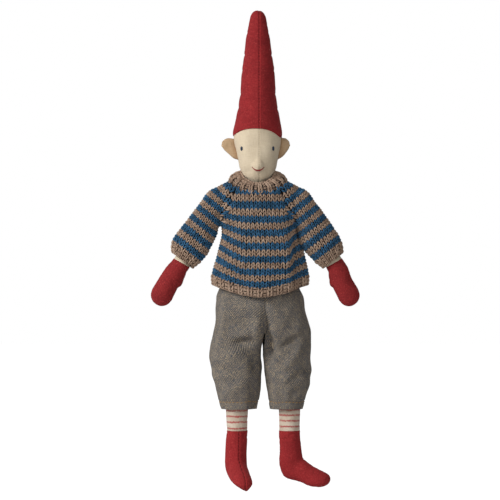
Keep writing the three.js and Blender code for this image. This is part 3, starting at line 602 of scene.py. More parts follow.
# The panels meet at the centre seam in a soft keel, in front and at the back
for lift, low, high in ((head["keel"], 348, 498), (head["faceKeel"], 296, 376)):
    x, y, z = axesOf(whole)
    fade = head["keelFade"]
    reach = smoothStep(low, low + fade, z) * (1 - smoothStep(high - fade, high, z))
    push(whole, lift * np.exp(-np.abs(x - head["seam"]) / head["keelWidth"]) * reach)
x, y, z = axesOf(whole)
chin = np.clip((325 - z) / 12, 0, 1) * (1 - smoothStep(14, 19, np.abs(x)))
plane = bump(np.abs(x), 14, 7.5) * bump(z, 341, 19)
y -= (3.2 * chin + 1.7 * plane) * (1 - smoothStep(-6, 0, y))
z -= 3.0 * chin
setAxes(whole, x, y, z)
nose = bump(x, 0.8, 4) * bump(z, 329.5, 5.5)
smile = bump(np.abs(x - 1), 8, 3.5) * bump(z, 326, 5)
temple = bump(z, 338, 9) * np.clip(np.abs(x) / 18 - 0.3, 0, 0.6)
flare = bump(z, 361, 11) * np.clip(-x / 22, 0, 1)
cheek = bump(z, 325, 9)
push(whole, (1.3 * nose - 0.7 * smile - 0.4 * temple) * (y < 0) + 1.4 * flare + 1.3 * cheek)

hat, face = parted(whole, "hat", "face", (0, 0, up(doll["hatSeam"])), arch=hatArch, lap=head["lap"])
x, y, z = axesOf(hat)
aboveRim = z - doll["hatSeam"] - hatArch(x)
lift = head["rimLift"] + (head["hatLift"] - head["rimLift"]) * smoothStep(6, 50, aboveRim)
lift -= head["tipTake"] * smoothStep(425, 455, z) + head["rimTake"] * (1 - smoothStep(0, 3, aboveRim))
push(hat, lift + 0.5 * noiseAt(hat, 20, 2.0))
seam = ((1, 0, 0), head["seam"] * mm)
for piece, depth, width in ((hat, 0.55, 0.7), (face, 0.18, 0.6)):
    sewIn(piece, *seam, depth, width)
    shelled(piece, cloth["hatShell"])
dressed(hat, cottonCloth("hat_cotton", "#932a2c", "#7b2124", [(*seam, up(352), up(489))]),
        "head", ("hat_panel_left", "hat_panel_right"))
dressed(face, linenCloth("face_linen", "#d0c1a8", "#c1b096", [(*seam, up(305), up(372))]),
        "head", ("face_panel_left", "face_panel_right", "head_stuffing"))
print("hat and face")

ears = {"voxel": 0.9, "rootReach": 3.0, "dimple": 0.8, "stretch": {"left": 3.4, "right": 0.6},
        "tall": {"left": 0.93, "right": 0.95}}
# the ears' linen is painted darker toward the head, as shade
earCloth = linenCloth("ear_linen", "#bfa382", "#a58969", root=(0.0285, 0.0215))
for side, sign in sides.items():
    ear = stuffed(f"soft_ear_{side}", f"ear_{side}", 0.2, ears["voxel"], 0.02, 0.5, frames=8)
    x, y, z = axesOf(ear)
    reach = np.abs(x)
    root = 1 - smoothStep(reach.min() + 1, reach.min() + 7, reach)
    bowl = bump(x, (x.min() + x.max()) / 2, 5) * bump(z, (z.min() + z.max()) / 2 + 2, 5)
    top = z.max()
    stretch = ears["stretch"][side] * (1 - root) * smoothStep(z.min(), top - 4, z)
    setAxes(ear, x + sign * (stretch - ears["rootReach"] * root),
            y - np.sign(y - 1) * ears["dimple"] * bowl,
            top + (z - top) * ears["tall"][side] + 0.35 * stretch)
    push(ear, 0.35 * noiseAt(ear, 9, 4.0 + sign))
    boxMap(ear)
    dressed(ear, earCloth, "head", (f"ear_{side}",))
print("ears")

# Eyes and mouth: strands of thread that lie on the face

features = {
    "eyeSide": 16.1, "eyeShift": -0.6, "eyeRise": 347.6, "eyeWidth": 2.4, "eyeHeight": 4.5,
    "strands": 5, "thread": 0.32, "mouthMiddle": 0.2, "mouthWidth": 12.4, "mouthRise": 328.8,
    "mouthCurve": 3.3, "mouthThread": 0.58,
}
faceTree = BVHTree.FromObject(face, bpy.context.evaluated_depsgraph_get())


def onFace(x, z, proud=0.0):
    hit = faceTree.ray_cast(Vector((x * mm, -0.2, up(z))), Vector((0, 1, 0)))
    return hit[0] + Vector((0, -proud * mm, 0))


def threads(name, strands, material, node, slot):
    data = bpy.data.curves.new(name, "CURVE")
    data.dimensions = "3D"
    data.bevel_depth = 1.0
    data.bevel_resolution = 2
    data.use_fill_caps = True
    for strand in strands:
        spline = data.splines.new("POLY")
        spline.points.add(len(strand) - 1)
        for point, (place, radius) in zip(spline.points, strand):
            point.co = (*place, 1)
            point.radius = radius * mm
    only(linked(name, data))
    bpy.ops.object.convert(target="MESH")
    piece = smoothFaces(bpy.context.active_object)
    ink(piece, material)
    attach(piece, "head")
    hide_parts(node)


navyThread = threadCloth("eye_thread", "#2c3f58", "#121a2a")
redThread = threadCloth("mouth_thread", "#9c302b", "#671b19")
for side, sign in sides.items():
    strands = []
    for i in range(features["strands"]):
        across = (i + 0.5) / features["strands"] * 2 - 1
        half = features["eyeHeight"] / 2 * math.sqrt(1 - (across * 0.92) ** 2)
        x = sign * features["eyeSide"] + features["eyeShift"]
        x += across * (features["eyeWidth"] - features["thread"]) / 2
        strand = []
        for t in np.linspace(-1, 1, 9):
            proud = 0.45 * (1 - t * t) ** 0.5 + 0.12 * (1 - across * across)
            radius = features["thread"] * (1 - 0.35 * t * t)
            strand.append((onFace(x, features["eyeRise"] + half * t, proud), radius))
        strands.append(strand)
    threads(f"eye_stitches_{side}", strands, navyThread, f"eye_{side}", "eye_thread")
strands = []
for shift, width in ((0, 1.0), (-0.42, 0.7)):
    strand = []
    for step in range(25):
        t = step / 12 - 1
        x = features["mouthMiddle"] + t * width * features["mouthWidth"] / 2
        z = features["mouthRise"] - features["mouthCurve"] * (1 - abs(t * width) ** 2.2) + shift
        proud = 0.2 + 0.08 * math.cos(step * math.pi / 2)
        strand.append((onFace(x, z, proud), features["mouthThread"] * (1 - 0.45 * t * t)))
    strands.append(strand)
threads("mouth_stitches", strands, redThread, "mouth", "mouth_thread")
print("eyes and mouth")

# Torso, arms, mittens, thighs and lower legs

bodyCloth = linenCloth("body_linen", "#cfc1aa", "#bcab92")


def bodyPart(form, body, nodes):  # form is what stuffed takes
    piece = stuffed(*form)
    boxMap(piece)
    dressed(piece, bodyCloth, body, nodes)


def armLine(sign):  # the shoulder's place, and the way down the arm
    lean = math.radians(doll["armAngle"])
    return (np.array((sign * doll["shoulderSide"] * mm, 0, up(doll["shoulder"]))),
            np.array((sign * math.sin(lean), 0, -math.cos(lean))))


bodyPart(("torso", "torso_stuffing", 1.4, 3.0, 0.02, 1.0, [((0, 1, 0), 0)], 8), "torso",
         ("torso_cover_front", "torso_cover_back", "torso_stuffing"))
bodyPart(("soft_neck", "neck", 0.0, 1.5, 0.02, 0.4, (), 6), "neck", ("neck",))

# The hands hang to the left by the first number, from the second to the third along the hand
handHang = {"left": (2.2, 0, 12), "right": (3.2, 8, 26)}
mittenCloth = cottonCloth("mitten_cotton", "#902b2c", "#782325")
for side, sign in sides.items():
    bodyPart((f"tab_{side}", f"shoulder_tab_{side}", 0.0, 1.5, 0.01, 0.3, (), 6),
             f"shoulder_{side}", (f"shoulder_tab_{side}",))
    shoulder, down = armLine(sign)
    wrist = shoulder - down * doll["wrist"] * mm
    seam = ((0, 1, 0), 0)
    arm = stuffed(f"arm_{side}", f"arm_stuffing_{side}", 1.45, 1.3, 0.02, 0.9, [seam])
    sewIn(arm, *seam, 0.4, 0.7)
    arm, mitten = parted(arm, f"soft_arm_{side}", f"mitt_{side}", wrist, -down)
    push(mitten, 0.25 + 0.3 * noiseAt(mitten, 15, 5.0 + sign))
    hang, low, high = handHang[side]
    co = pointsOf(mitten)
    co[:, 0] -= hang * mm * smoothStep(low * mm, high * mm, (co - wrist) @ down)
    setPoints(mitten, co)
    for piece in (arm, mitten):
        shelled(piece, cloth["shell"])
        boxMap(piece)
    dressed(arm, bodyCloth, f"arm_{side}", (f"arm_cover_{side}", f"arm_stuffing_{side}"))
    dressed(mitten, mittenCloth, f"arm_{side}", (f"mitten_{side}",))
print("torso, arms and mittens")

legs = {
    "left": {"turn": 12, "lean": -0.9, "heel": -1.6, "full": 0.9, "stripes": (81.5, 75.5, 69.8, 63.2)},
    "right": {"turn": 78, "lean": 1.9, "heel": -4.0, "full": 0.3, "stripes": (82.3, 76.9, 71.2, 65.3)},
}
for side, sign in sides.items():
    leg = legs[side]
    bodyPart((f"thigh_{side}", f"thigh_stuffing_{side}", 1.4, 2.0, 0.015, 0.8, (), 8),
             f"thigh_{side}", (f"thigh_cover_{side}", f"thigh_stuffing_{side}"))
    middle = doll["hipShift"] + sign * doll["legSide"]
    turn = math.radians(leg["turn"])
    # The foot points along (sin, -cos); its seams lie in the plane through the leg and the toes
    seam = ((math.cos(turn), math.sin(turn), 0), middle * mm * math.cos(turn))
    lower = stuffed(f"sock_{side}", f"leg_stuffing_{side}", 1.4, 1.3, 0.02, 0.9, [seam])
    x, y, z = axesOf(lower)
    ankle = (1 - smoothStep(36, 58, z)) * smoothStep(6, 26, z)
    heel = bump(z, 9, 7) * (1 - smoothStep(middle, middle + 14, x))
    setAxes(lower, x + leg["lean"] * ankle + leg["heel"] * heel, y, z)
    push(lower, leg["full"] * bump(z, 16, 14))
    x, y, z = axesOf(lower)
    if side == "left":  # the toe is turned to the camera and comes to a point
        setAxes(lower, x + (-10.7 - x) * 0.75 * np.clip((12 - z) / 12, 0, 1) ** 1.5, y,
                z + 1.5 * np.clip((9 - z) / 9, 0, 1))
    else:  # the toe is held up a little, the instep and the sole are full
        toe = (2.4 + 0.13 * (13 - z)) * smoothStep(48, 72, x) * (z < 60)
        setAxes(lower, x, y, z + toe)
        for across, level, reach, lift in ((46, 29, 8, 1.4), (52, 4, 9, 1.3)):
            push(lower, lift * bump(x, across, reach) * bump(z, level, reach))
    stocking, boot = parted(lower, f"sock_{side}", f"boot_{side}", (0, 0, up(doll["bootTop"])))
    push(boot, 0.35 + 0.3 * noiseAt(boot, 16, 8.0 + sign))
    sewIn(boot, *seam, 0.35, 0.6)
    wrapMap(stocking, (middle * mm, 0, up(doll["bootTop"])), (middle * mm, 0, up(doll["knee"])), 10.5)
    for piece in (stocking, boot):
        shelled(piece, cloth["shell"])
    boxMap(boot)
    dressed(stocking, jerseyCloth(f"stocking_jersey_{side}", leg["stripes"]), f"lower_leg_{side}",
            (f"stocking_{side}", f"leg_stuffing_{side}"))
    bootSeam = (*seam, up(-5), up(62))
    dressed(boot, cottonCloth(f"boot_cotton_{side}", "#a02f31", "#862527", [bootSeam]),
            f"lower_leg_{side}", (f"boot_inner_{side}", f"boot_outer_{side}"))
print("legs and boots")


# Skins: grids of points (rows, columns, xyz) that cloth and stitches are laid on, given in mm.
# A place on a skin is given in columns across and rows up.

class Skin:
    def __init__(self, own, columns, rows, closed=False):
        self.own = own
        self.points = points = (own - [0, 0, doll["hold"]]) * mm
        self.columns = columns
        self.rows = rows
        self.closed = closed
        across = np.gradient(points, axis=1)
        if closed:
            across = np.roll(points, -1, 1) - np.roll(points, 1, 1)
        normal = np.cross(across, np.gradient(points, axis=0))
        self.normals = normal / np.maximum(np.linalg.norm(normal, axis=2, keepdims=True), 1e-12)

    def cell(self, u, v):
        high, wide = self.points.shape[:2]
        (left, right), (low, top) = self.columns, self.rows
        share = (u - left) / (right - left)
        a = np.mod(share, 1) * wide if self.closed else np.clip(share * (wide - 1), 0, wide - 1.001)
        b = np.clip((v - low) / (top - low) * (high - 1), 0, high - 1.001)
        return a, b

    def at(self, u, v):
        wide = self.points.shape[1]
        a, b = self.cell(u, v)
        i, j = np.floor(a).astype(int) % wide, np.floor(b).astype(int)
        s, t = (a - np.floor(a))[..., None], (b - j)[..., None]

        def between(grid, row):
            return grid[row, i] * (1 - s) + grid[row, (i + 1) % wide] * s

        return [between(grid, j) * (1 - t) + between(grid, j + 1) * t
                for grid in (self.points, self.normals)]

    def kept(self, mask, u, v):
        a, b = self.cell(u, v)
        return mask[np.round(b).astype(int), np.round(a).astype(int) % mask.shape[1]]


def skinCloth(name, skin, mask, mapName, offset=0.0):
    # a grid laid on the skin, cut back to the masked faces; its columns and rows are the UV map
    high, wide = mask.shape
    full = wide + 1 if skin.closed else wide
    bpy.ops.object.select_all(action="DESELECT")
    bpy.ops.mesh.primitive_grid_add(x_subdivisions=full - 1, y_subdivisions=high - 1, size=1)
    piece = bpy.context.active_object
    piece.name = name
    co = skin.points + skin.normals * offset * mm
    if skin.closed:
        co, mask = (np.concatenate([grid, grid[:, :1]], 1) for grid in (co, mask))
    setPoints(piece, co.reshape(-1, 3))
    u, v = np.meshgrid(np.linspace(*skin.columns, full), np.linspace(*skin.rows, high))
    corner, counts, begin = cornersOf(piece)
    layer = piece.data.uv_layers[0]
    layer.name = mapName
    layer.data.foreach_set("uv", np.stack([u.ravel(), v.ravel()], 1)[corner].ravel())
    kept = np.minimum.reduceat(mask.ravel()[corner].astype(int), begin) > 0
    with editing(piece):
        bpy.ops.mesh.select_mode(type="FACE")
    piece.data.polygons.foreach_set("select", ~kept)
    bpy.ops.object.mode_set(mode="EDIT")
    bpy.ops.mesh.delete(type="FACE")
    bpy.ops.mesh.select_all(action="SELECT")
    bpy.ops.mesh.remove_doubles(threshold=0.000001)
    bpy.ops.mesh.delete_loose()
    bpy.ops.object.mode_set(mode="OBJECT")
    return smoothFaces(piece)


# Stitches: a strand of yarn is drawn out ring by ring along its path, and each kind of stitch is
# made of two strands. Paths are (across in columns, up in rows, out in mm, radius in mm).

gauge = {"column": 4.8, "row": 3.4, "sides": 6}


def strand(path):
    places = [np.array((a * gauge["column"], b * gauge["row"], out)) for a, b, out, radius in path]
    radii = [radius for a, b, out, radius in path]
    bpy.ops.object.select_all(action="DESELECT")
    bpy.ops.mesh.primitive_circle_add(vertices=gauge["sides"], radius=radii[0], fill_type="NGON",
                                      location=places[0], rotation=(math.pi / 2, 0, 0))
    piece = bpy.context.active_object
    bpy.ops.object.transform_apply(location=True, rotation=True, scale=True)
    with editing(piece):
        for i in range(1, len(path)):
            move = tuple(places[i] - places[i - 1])
            bpy.ops.mesh.extrude_region_move(TRANSFORM_OT_translate={"value": move})
            bpy.ops.transform.resize(value=(radii[i] / radii[i - 1],) * 3,
                                     center_override=tuple(places[i]))
        bpy.ops.mesh.select_all(action="SELECT")
        bpy.ops.mesh.normals_make_consistent(inside=False)
    return piece


def crossStrand(path):  # a strand that runs along the row: drawn upright, then its two ways are swapped
    ratio = gauge["column"] / gauge["row"]
    piece = strand([(b / ratio, a * ratio, out, radius) for a, b, out, radius in path])
    setPoints(piece, pointsOf(piece)[:, [1, 0, 2]])
    with editing(piece):
        bpy.ops.mesh.flip_normals()
    return piece


def stitchForm(*strands):
    piece = only(strands[0])
    for other in strands[1:]:
        other.select_set(True)
    if len(strands) > 1:
        bpy.ops.object.join()
    co = pointsOf(piece)
    corner, counts, begin = cornersOf(piece)
    ring = np.arange(len(co)) % gauge["sides"] / gauge["sides"]
    length = np.where(np.ptp(co[:, 1]) > np.ptp(co[:, 0]), co[:, 1], co[:, 0]) / gauge["row"]
    yarn = np.stack([length, ring], 1)[corner]
    bpy.data.objects.remove(piece)
    return {"points": co, "corner": corner, "counts": counts, "yarn": yarn}


def uprightPair(path):  # two legs side by side
    other = [(-a, b, out, radius) for a, b, out, radius in path]
    return stitchForm(strand(path), strand(other))


def crossPair(path):  # two bars, one above the other
    other = [(a, -b, out, radius) for a, b, out, radius in path]
    return stitchForm(crossStrand(path), crossStrand(other))


knitLeg = [(0.09, -0.62, -0.5, 0.58), (0.18, -0.30, 0.25, 0.80), (0.27, 0.05, 0.60, 0.88),
           (0.36, 0.42, 0.35, 0.82), (0.43, 0.80, -0.5, 0.60)]
ribLeg = [(0.09, -0.66, 0.0, 0.62), (0.18, -0.32, 0.8, 0.90), (0.28, 0.05, 1.05, 1.00),
          (0.37, 0.42, 0.8, 0.92), (0.43, 0.82, 0.0, 0.62)]
purlBump = [(-0.55, 0.02, -0.9, 0.60), (-0.34, 0.26, -0.1, 0.86), (0.0, 0.40, 0.3, 0.95),
            (0.34, 0.26, -0.1, 0.86), (0.55, 0.02, -0.9, 0.60)]
neckLeg = [(0.08, -0.66, 0.0, 0.62), (0.17, -0.32, 0.9, 0.88), (0.27, 0.05, 1.2, 0.98),
           (0.36, 0.42, 0.9, 0.90), (0.41, 0.82, 0.1, 0.62)]
neckBump = [(-0.52, 0.02, -1.2, 0.58), (-0.34, 0.26, -0.45, 0.82), (0.0, 0.40, 0.0, 0.92),
            (0.34, 0.26, -0.45, 0.82), (0.52, 0.02, -1.2, 0.58)]
chainLeg = [(-0.62, 0.06, 0.0, 0.55), (-0.35, 0.26, 0.5, 0.85), (0.0, 0.34, 0.7, 0.95),
            (0.35, 0.26, 0.5, 0.85), (0.62, 0.06, 0.0, 0.55)]
hemDash = [(-0.26, 0.0, -0.1, 0.14), (-0.14, 0.0, 0.28, 0.34), (0.14, 0.0, 0.28, 0.34),
           (0.26, 0.0, -0.1, 0.14)]
forms = {
    "knit": uprightPair(knitLeg), "rib": uprightPair(ribLeg), "purl": crossPair(purlBump),
    "ridge": uprightPair(neckLeg), "hollow": crossPair(neckBump), "chain": crossPair(chainLeg),
    "dash": stitchForm(crossStrand(hemDash)),
}
uneven = {"size": 0.05, "tilt": 0.05, "across": 0.025, "up": 0.035, "out": 0.1}


def stitched(name, skin, rows, yarns, size=(gauge["column"], gauge["row"]), loose=1.0):
    # rows are (form, columns, rows, yarn number); size is what one column and one row measure in mm
    def chance(kind):
        return uneven[kind] * loose * random.standard_normal((count, 1))

    parts = {"points": [], "corner": [], "counts": [], "yarn": [], "tone": [], "lift": [], "ink": []}
    base = 0
    for kind, u, v, tint in rows:
        form = forms[kind]
        count = len(u)
        if not count:
            continue
        x, y, z = form["points"].T[:, None]
        grown = 1 + chance("size")
        tilt = chance("tilt")
        s = np.reshape(u, (-1, 1)) + (x * grown + tilt * y) / size[0] + chance("across")
        t = np.reshape(v, (-1, 1)) + (y * grown - tilt * x) / size[1] + chance("up")
        out = z + chance("out")
        place, normal = skin.at(s, t)
        shift = random.uniform(0, 1, (count, 1, 1)) * np.array([1.0, 0.0])
        own = len(form["points"])
        corner = form["corner"][None] + base + np.arange(count)[:, None] * own
        for key, values in {
            "points": (place + normal * out[..., None] * mm).reshape(-1, 3),
            "corner": corner.ravel(),
            "counts": np.tile(form["counts"], count),
            "yarn": (form["yarn"][None] + shift).reshape(-1, 2),
            "tone": np.repeat(random.uniform(0, 1, count), own),
            "lift": np.tile(z[0], count),
            "ink": np.repeat(np.broadcast_to(tint, count), len(form["counts"])),
        }.items():
            parts[key].append(values)
        base += count * own
    points, corner, counts, yarn, tone, lift, tint = (np.concatenate(parts[key]) for key in parts)
    mesh = bpy.data.meshes.new(name)
    mesh.vertices.add(len(points))
    mesh.vertices.foreach_set("co", points.ravel())
    mesh.loops.add(len(corner))
    mesh.loops.foreach_set("vertex_index", corner)
    mesh.polygons.add(len(counts))
    mesh.polygons.foreach_set("loop_start", np.cumsum(counts) - counts)
    mesh.update(calc_edges=True)
    mesh.uv_layers.new(name="yarn").data.foreach_set("uv", yarn.ravel())
    mesh.attributes.new("tone", "FLOAT", "POINT").data.foreach_set("value", tone)
    # lift is how far out each point of a stitch lies; the yarn is painted darker as shade where it is
    # low
    mesh.attributes.new("lift", "FLOAT", "POINT").data.foreach_set("value", lift)
    for yarnInk in yarns:
        mesh.materials.append(yarnInk)
    mesh.polygons.foreach_set("material_index", tint.astype(np.int32))
    return smoothFaces(linked(name, mesh))


# the third colour of each yarn is its painted shade between stitches
pulloverYarns = [yarnCloth("yarn_blue", "#38668a", "#274d69", "#0b1822", "#7398b3"),
                 yarnCloth("yarn_beige", "#ad9480", "#937a68", "#33261d", "#cdb7a4")]
backShade = shadedKnitBack("knit_back")


# Pullover: rows of stitches hang lower in the middle than at the sides, and no stitch is laid
# past the lines where sleeves and body meet

pullover = {
    "hem": -3.4, "top": 34, "half": 13, "neck": 315.6, "neckDrop": 10.5, "neckDepth": 46,
    "sag": 14, "backSag": 4, "inset": 1.3, "groove": 1.5, "grooveWidth": 2.6, "edgeTake": 1.2,
    "shadeSheet": 0.9, "foot": -3.1,
}
levels = through([(-3.4, 196.8), (0, 206.4), (3, 215.6), (7, 228.7), (11, 241.5), (15, 255.0),
                  (19, 268.6),
                  (23, 282.5), (27, 297.6), (30, 308.0), (34, 320.0)])
sideLift = through([(-3.4, 12.6), (3, 14), (7, 13.4), (11, 12), (15, 9.5), (19, 7), (23, 4),
                    (27, 1), (34, 0)])
columnWidth = through([(-3.4, 5.2), (7, 5.0), (15, 4.75), (23, 4.5), (34, 4.4)])
bodyWidth = through([(210.1, 100), (243.1, 88), (266.4, 78), (296.4, 93), (309.1, 83),
                     (315.6, 57)])
bodyDepth = through([(210.1, 62), (243.1, 58), (266.4, 52), (315.6, 46)])
bodyLean = through([(210.1, 2), (247, 3), (292.4, 0)])
sleeveWide = through([(-69.4, 28.2), (-58.4, 34.2), (-48.6, 37.2), (-20.8, 33), (0, 28.5)])
sleeveDeep = through([(-69.4, 25.4), (-58.4, 29), (-48.6, 33), (0, 33)])
sleeveLevels = through([(-3.4, -67.6), (0, -56.8), (3, -46.3), (7, -32.4), (11, -20.4), (15, -8.6),
                        (19, 3.2),
                        (23, 14.5), (27, 26)])


def raglanHalf(height):  # how far from the middle the line between body and sleeve runs
    return np.interp(height, [197, 266.4, 312.6, 339.6], [64.8, 37, 21.7, 17.1])


def neckLine(y):
    return pullover["neck"] + pullover["neckDrop"] * np.minimum(y, 0) / (pullover["neckDepth"] / 2)


def ovalTurn(wide, deep, along):  # angle from the middle of an oval's front, given the way along it
    turn = np.linspace(-1.9, 1.9, 191)
    step = np.hypot(wide * np.cos(turn), deep * np.sin(turn))
    way = np.concatenate([[0], np.cumsum((step[1:] + step[:-1]) / 2 * np.diff(turn))])
    return np.interp(along, way - way[95], turn)


def drawnIn(edge, height, v):  # how far the cloth lies lower along the raglan lines and at its ends
    groove = pullover["groove"] * bump(edge, 0, pullover["grooveWidth"]) * smoothStep(272, 286, height)
    ends = pullover["edgeTake"] * (1 - smoothStep(0.8, 3.6, v - pullover["hem"]))
    return groove + ends + pullover["inset"]


def bodySkin(back):
    half = pullover["half"]
    v = np.linspace(pullover["hem"], pullover["top"], 150)[:, None]
    u = np.linspace(-half, half, 157)
    lift = sideLift(v)
    level = (levels(v) + lift * 0.3)[:, 0]
    turn = np.array([ovalTurn(bodyWidth(h) / 2, bodyDepth(h) / 2, u * c)
                     for h, c in zip(level, columnWidth(v[:, 0]))])
    share = np.abs(np.sin(turn))
    if back:
        bow = 1 - pullover["backSag"] / pullover["sag"] * (1 - share ** 2)
    else:
        flat = np.where(turn < 0, 0.38, 0.55)
        plain = np.clip((share - flat) / (1 - flat), 0, 1) ** 1.15
        atHem = 1 - smoothStep(-1, 7, v)
        bow = share ** 1.7 * atHem + plain * (1 - atHem)
    height = levels(v) + lift * bow
    side = -1 if back else 1
    middle = side * bodyWidth(height) / 2 * np.sin(turn)
    relief = 0.8 * np.sin(5 * turn + 0.6 + back) + 0.5 * np.sin(9 * turn + 2)
    relief = relief * (1 - smoothStep(222, 268, height))
    if not back:  # two folds, and a hollow where the right sleeve rests
        relief += 1.5 * bump(middle, -17, 6) * (1 - smoothStep(255, 280, height))
        relief += 1.8 * bump(middle, 27, 6) * (1 - smoothStep(250, 275, height))
        relief -= 4.2 * bump(middle, 37, 6) * bump(height, 246, 18)
    edge = raglanHalf(height) - np.abs(middle)
    relief = relief - drawnIn(edge, height, v)
    x = bodyLean(height) + side * (bodyWidth(height) / 2 + relief) * np.sin(turn)
    y = -side * (bodyDepth(height) / 2 + relief) * np.cos(turn)
    skin = Skin(np.stack([x, y, height], 2), (-half, half), (pullover["hem"], pullover["top"]))
    return skin, edge, turn


sleeve = {
    "columns": 24, "split": 15, "last": 27, "armStart": 3.4, "armEnd": 24, "armTilt": 0.6,
    "seamTilt": 2.1, "headHeight": 16.5, "step": 0.25, "reach": 48, "armpit": 288, "bodyFrom": 270,
}


def sleeveSkin(sign):
    columns, low, top = sleeve["columns"], pullover["hem"], float(sleeve["last"])
    lean = math.radians(doll["armAngle"]) * -sign
    v = np.linspace(low, top, 122)[:, None]
    turn = (np.arange(columns * 5) / 5 / columns * 2 * math.pi)[None, :]
    height = sleeveLevels(v) + sign * sleeve["seamTilt"] * np.sin(turn)
    out, ahead = np.sin(turn) + 0 * v, -np.cos(turn) + 0 * v

    def placed(reach, along):
        x, y = reach * out, reach * ahead
        return (sign * doll["shoulderSide"] + x * math.cos(lean) + along * math.sin(lean),
                y, doll["shoulder"] - x * math.sin(lean) + along * math.cos(lean))

    # Each point is marched out from the arm's middle to the surface of the sleeve and the body
    # together, and stops where it would pass the raglan line
    swell = np.sqrt(np.clip(1 - (np.maximum(height, 0) / sleeve["headHeight"]) ** 2, 0.0001, 1))
    ownReach = swell / np.hypot(out / (sleeveWide(height) / 2), ahead / (sleeveDeep(height) / 2))
    reach = np.zeros(height.shape)
    inside = np.ones(height.shape, bool)
    cut = np.zeros(height.shape, bool)
    for step in np.arange(sleeve["step"], sleeve["reach"], sleeve["step"]):
        x, y, z = placed(step, height)
        body = ((x - bodyLean(z)) / (bodyWidth(z) / 2)) ** 2 + (y / (bodyDepth(z) / 2)) ** 2 < 1
        union = (step < ownReach) | (body & (z > sleeve["bodyFrom"]))
        own = sign * (x - bodyLean(z)) > raglanHalf(z) - 3 - 1.5 * (z < sleeve["armpit"])
        cut |= inside & union & ~own
        inside &= union & own
        reach = np.where(inside, step, reach)
    blur = np.array([1, 3, 4, 3, 1]) / 12
    for i in range(2):
        reach = sum(k * np.roll(reach, s, 1) for k, s in zip(blur, range(-2, 3)))
        padded = np.pad(reach, ((2, 2), (0, 0)), mode="edge")
        reach = sum(k * padded[s:s + len(v)] for k, s in zip(blur, range(5)))
    inner = -sign * out
    folds = -1.7 * bump(height, 4 * inner - 25, 3.8) * np.clip(inner + 0.3, 0, 1)
    folds -= 1.3 * bump(height, -42 - 4 * ahead, 4) * np.clip(ahead + 0.2, 0, 1)
    # The fuller side of each sleeve: inwards on the right, outwards on the left
    full, level, breadth = (3.2, -37, 11) if sign > 0 else (2.2, -55, 16)
    folds += full * bump(height, level, breadth) * np.clip(sign * inner, 0, 1) ** 1.5
    x, y, z = placed(reach, height)
    edge = sign * (x - bodyLean(z)) - raglanHalf(z)
    points = np.stack(placed(reach + folds - drawnIn(edge, z, v), height), 2)
    return Skin(points, (0, columns), (low, top), closed=True), edge, ~cut


def stitchRows(skin, kept, columns, last):
    # stockinette in pairs of blue and beige rows above the welt, one rib over one in the welt
    u, v = (a.ravel() for a in np.meshgrid(columns, np.arange(-3, last) + 0.5))
    inside = skin.kept(kept, u, v)
    u, v = u[inside], v[inside]
    plain = v > 0
    raised = ~plain & (np.round(u - columns[0]).astype(int) % 2 == 0)
    sunk = ~plain & ~raised
    foot = np.full(len(columns), pullover["foot"])
    chain = columns[skin.kept(kept, columns, foot)]
    knit = ("knit", u[plain], v[plain], (np.floor(v[plain]) % 4) // 2)
    welt = [("rib", u[raised], v[raised], 1), ("purl", u[sunk], v[sunk], 1),
            ("chain", chain, foot[:len(chain)], 1)]
    return knit, welt


# A dark sheet laid just under the stitches, coloured as painted shade, fills what shows between them
def shadeSheetOf(name, skin, mask):
    return ink(skinCloth(name, skin, mask, "knit", -pullover["shadeSheet"]), backShade)


for half in ("front", "back"):
    skin, edge, turn = bodySkin(half == "back")
    y, height = skin.own[..., 1], skin.own[..., 2]
    clear = height < neckLine(y) - 0.6
    # Under the arm the body runs on into the sleeve
    tucked = np.where((height < sleeve["armpit"]) & (np.abs(turn) > 0.9), -4.5, -0.5)
    kept = (edge > tucked) & clear & (np.abs(turn) < math.pi / 2 + 0.05)
    knit, welt = stitchRows(skin, kept, np.arange(-12.0, 12.5), pullover["top"])
    panel = stitched(f"stitches_{half}", skin, [knit], pulloverYarns)
    hem = stitched(f"welt_{half}", skin, welt, pulloverYarns)
    wider = (edge > tucked - 5) & clear & (np.abs(turn) < math.pi / 2 + 0.08)
    shadeSheet = shadeSheetOf(f"knit_{half}", skin, wider)
    for piece in (hem, panel, shadeSheet):
        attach(piece, "torso")
        "knit" if piece != hem else "knit_welt"
    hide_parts(f"sweater_{half}")
    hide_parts("sweater_hem")
print("pullover body")

for side, sign in sides.items():
    skin, edge, own = sleeveSkin(sign)
    y, height = skin.own[..., 1], skin.own[..., 2]
    wider = own & (height < neckLine(y) + 1.6)
    rise = np.linspace(*skin.rows, len(edge))[:, None]
    kept = wider & (edge > np.interp(height, [289, 300], [-4, -0.5]))
    (kind, u, v, tint), welt = stitchRows(skin, kept, np.arange(sleeve["columns"]) + 0.5, sleeve["last"])
    shoulder, down = armLine(sign)
    bend = down + sleeve["armTilt"] * np.array((-sign * down[2], 0, sign * down[0]))
    bend = bend / np.linalg.norm(bend) * mm
    cuff = stitched(f"cuff_{side}", skin, welt, pulloverYarns)
    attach(cuff, f"arm_{side}")
    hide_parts(f"sweater_cuff_{side}")
    for name, low, top in ((f"sleeve_{side}", 0, sleeve["split"]),
                           (f"raglan_{side}", sleeve["split"], 99)):
        within = (v > low) & (v < top)
        part = stitched(name, skin, [(kind, u[within], v[within], tint[within])], pulloverYarns)
        reach = (rise > (low - 1.2 if low else -99)) & (rise < top + 0.1)
        shadeSheet = shadeSheetOf(f"{name}_back", skin, wider & reach)
        for piece in (part, shadeSheet):
            if low:
                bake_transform(piece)
            else:
                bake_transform(piece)
        if low:
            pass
        else:
            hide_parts(f"sweater_sleeve_{side}")
print("sleeves")

# Neckband: one rib over one round the neck that leans in to the chin, with a chain along its top

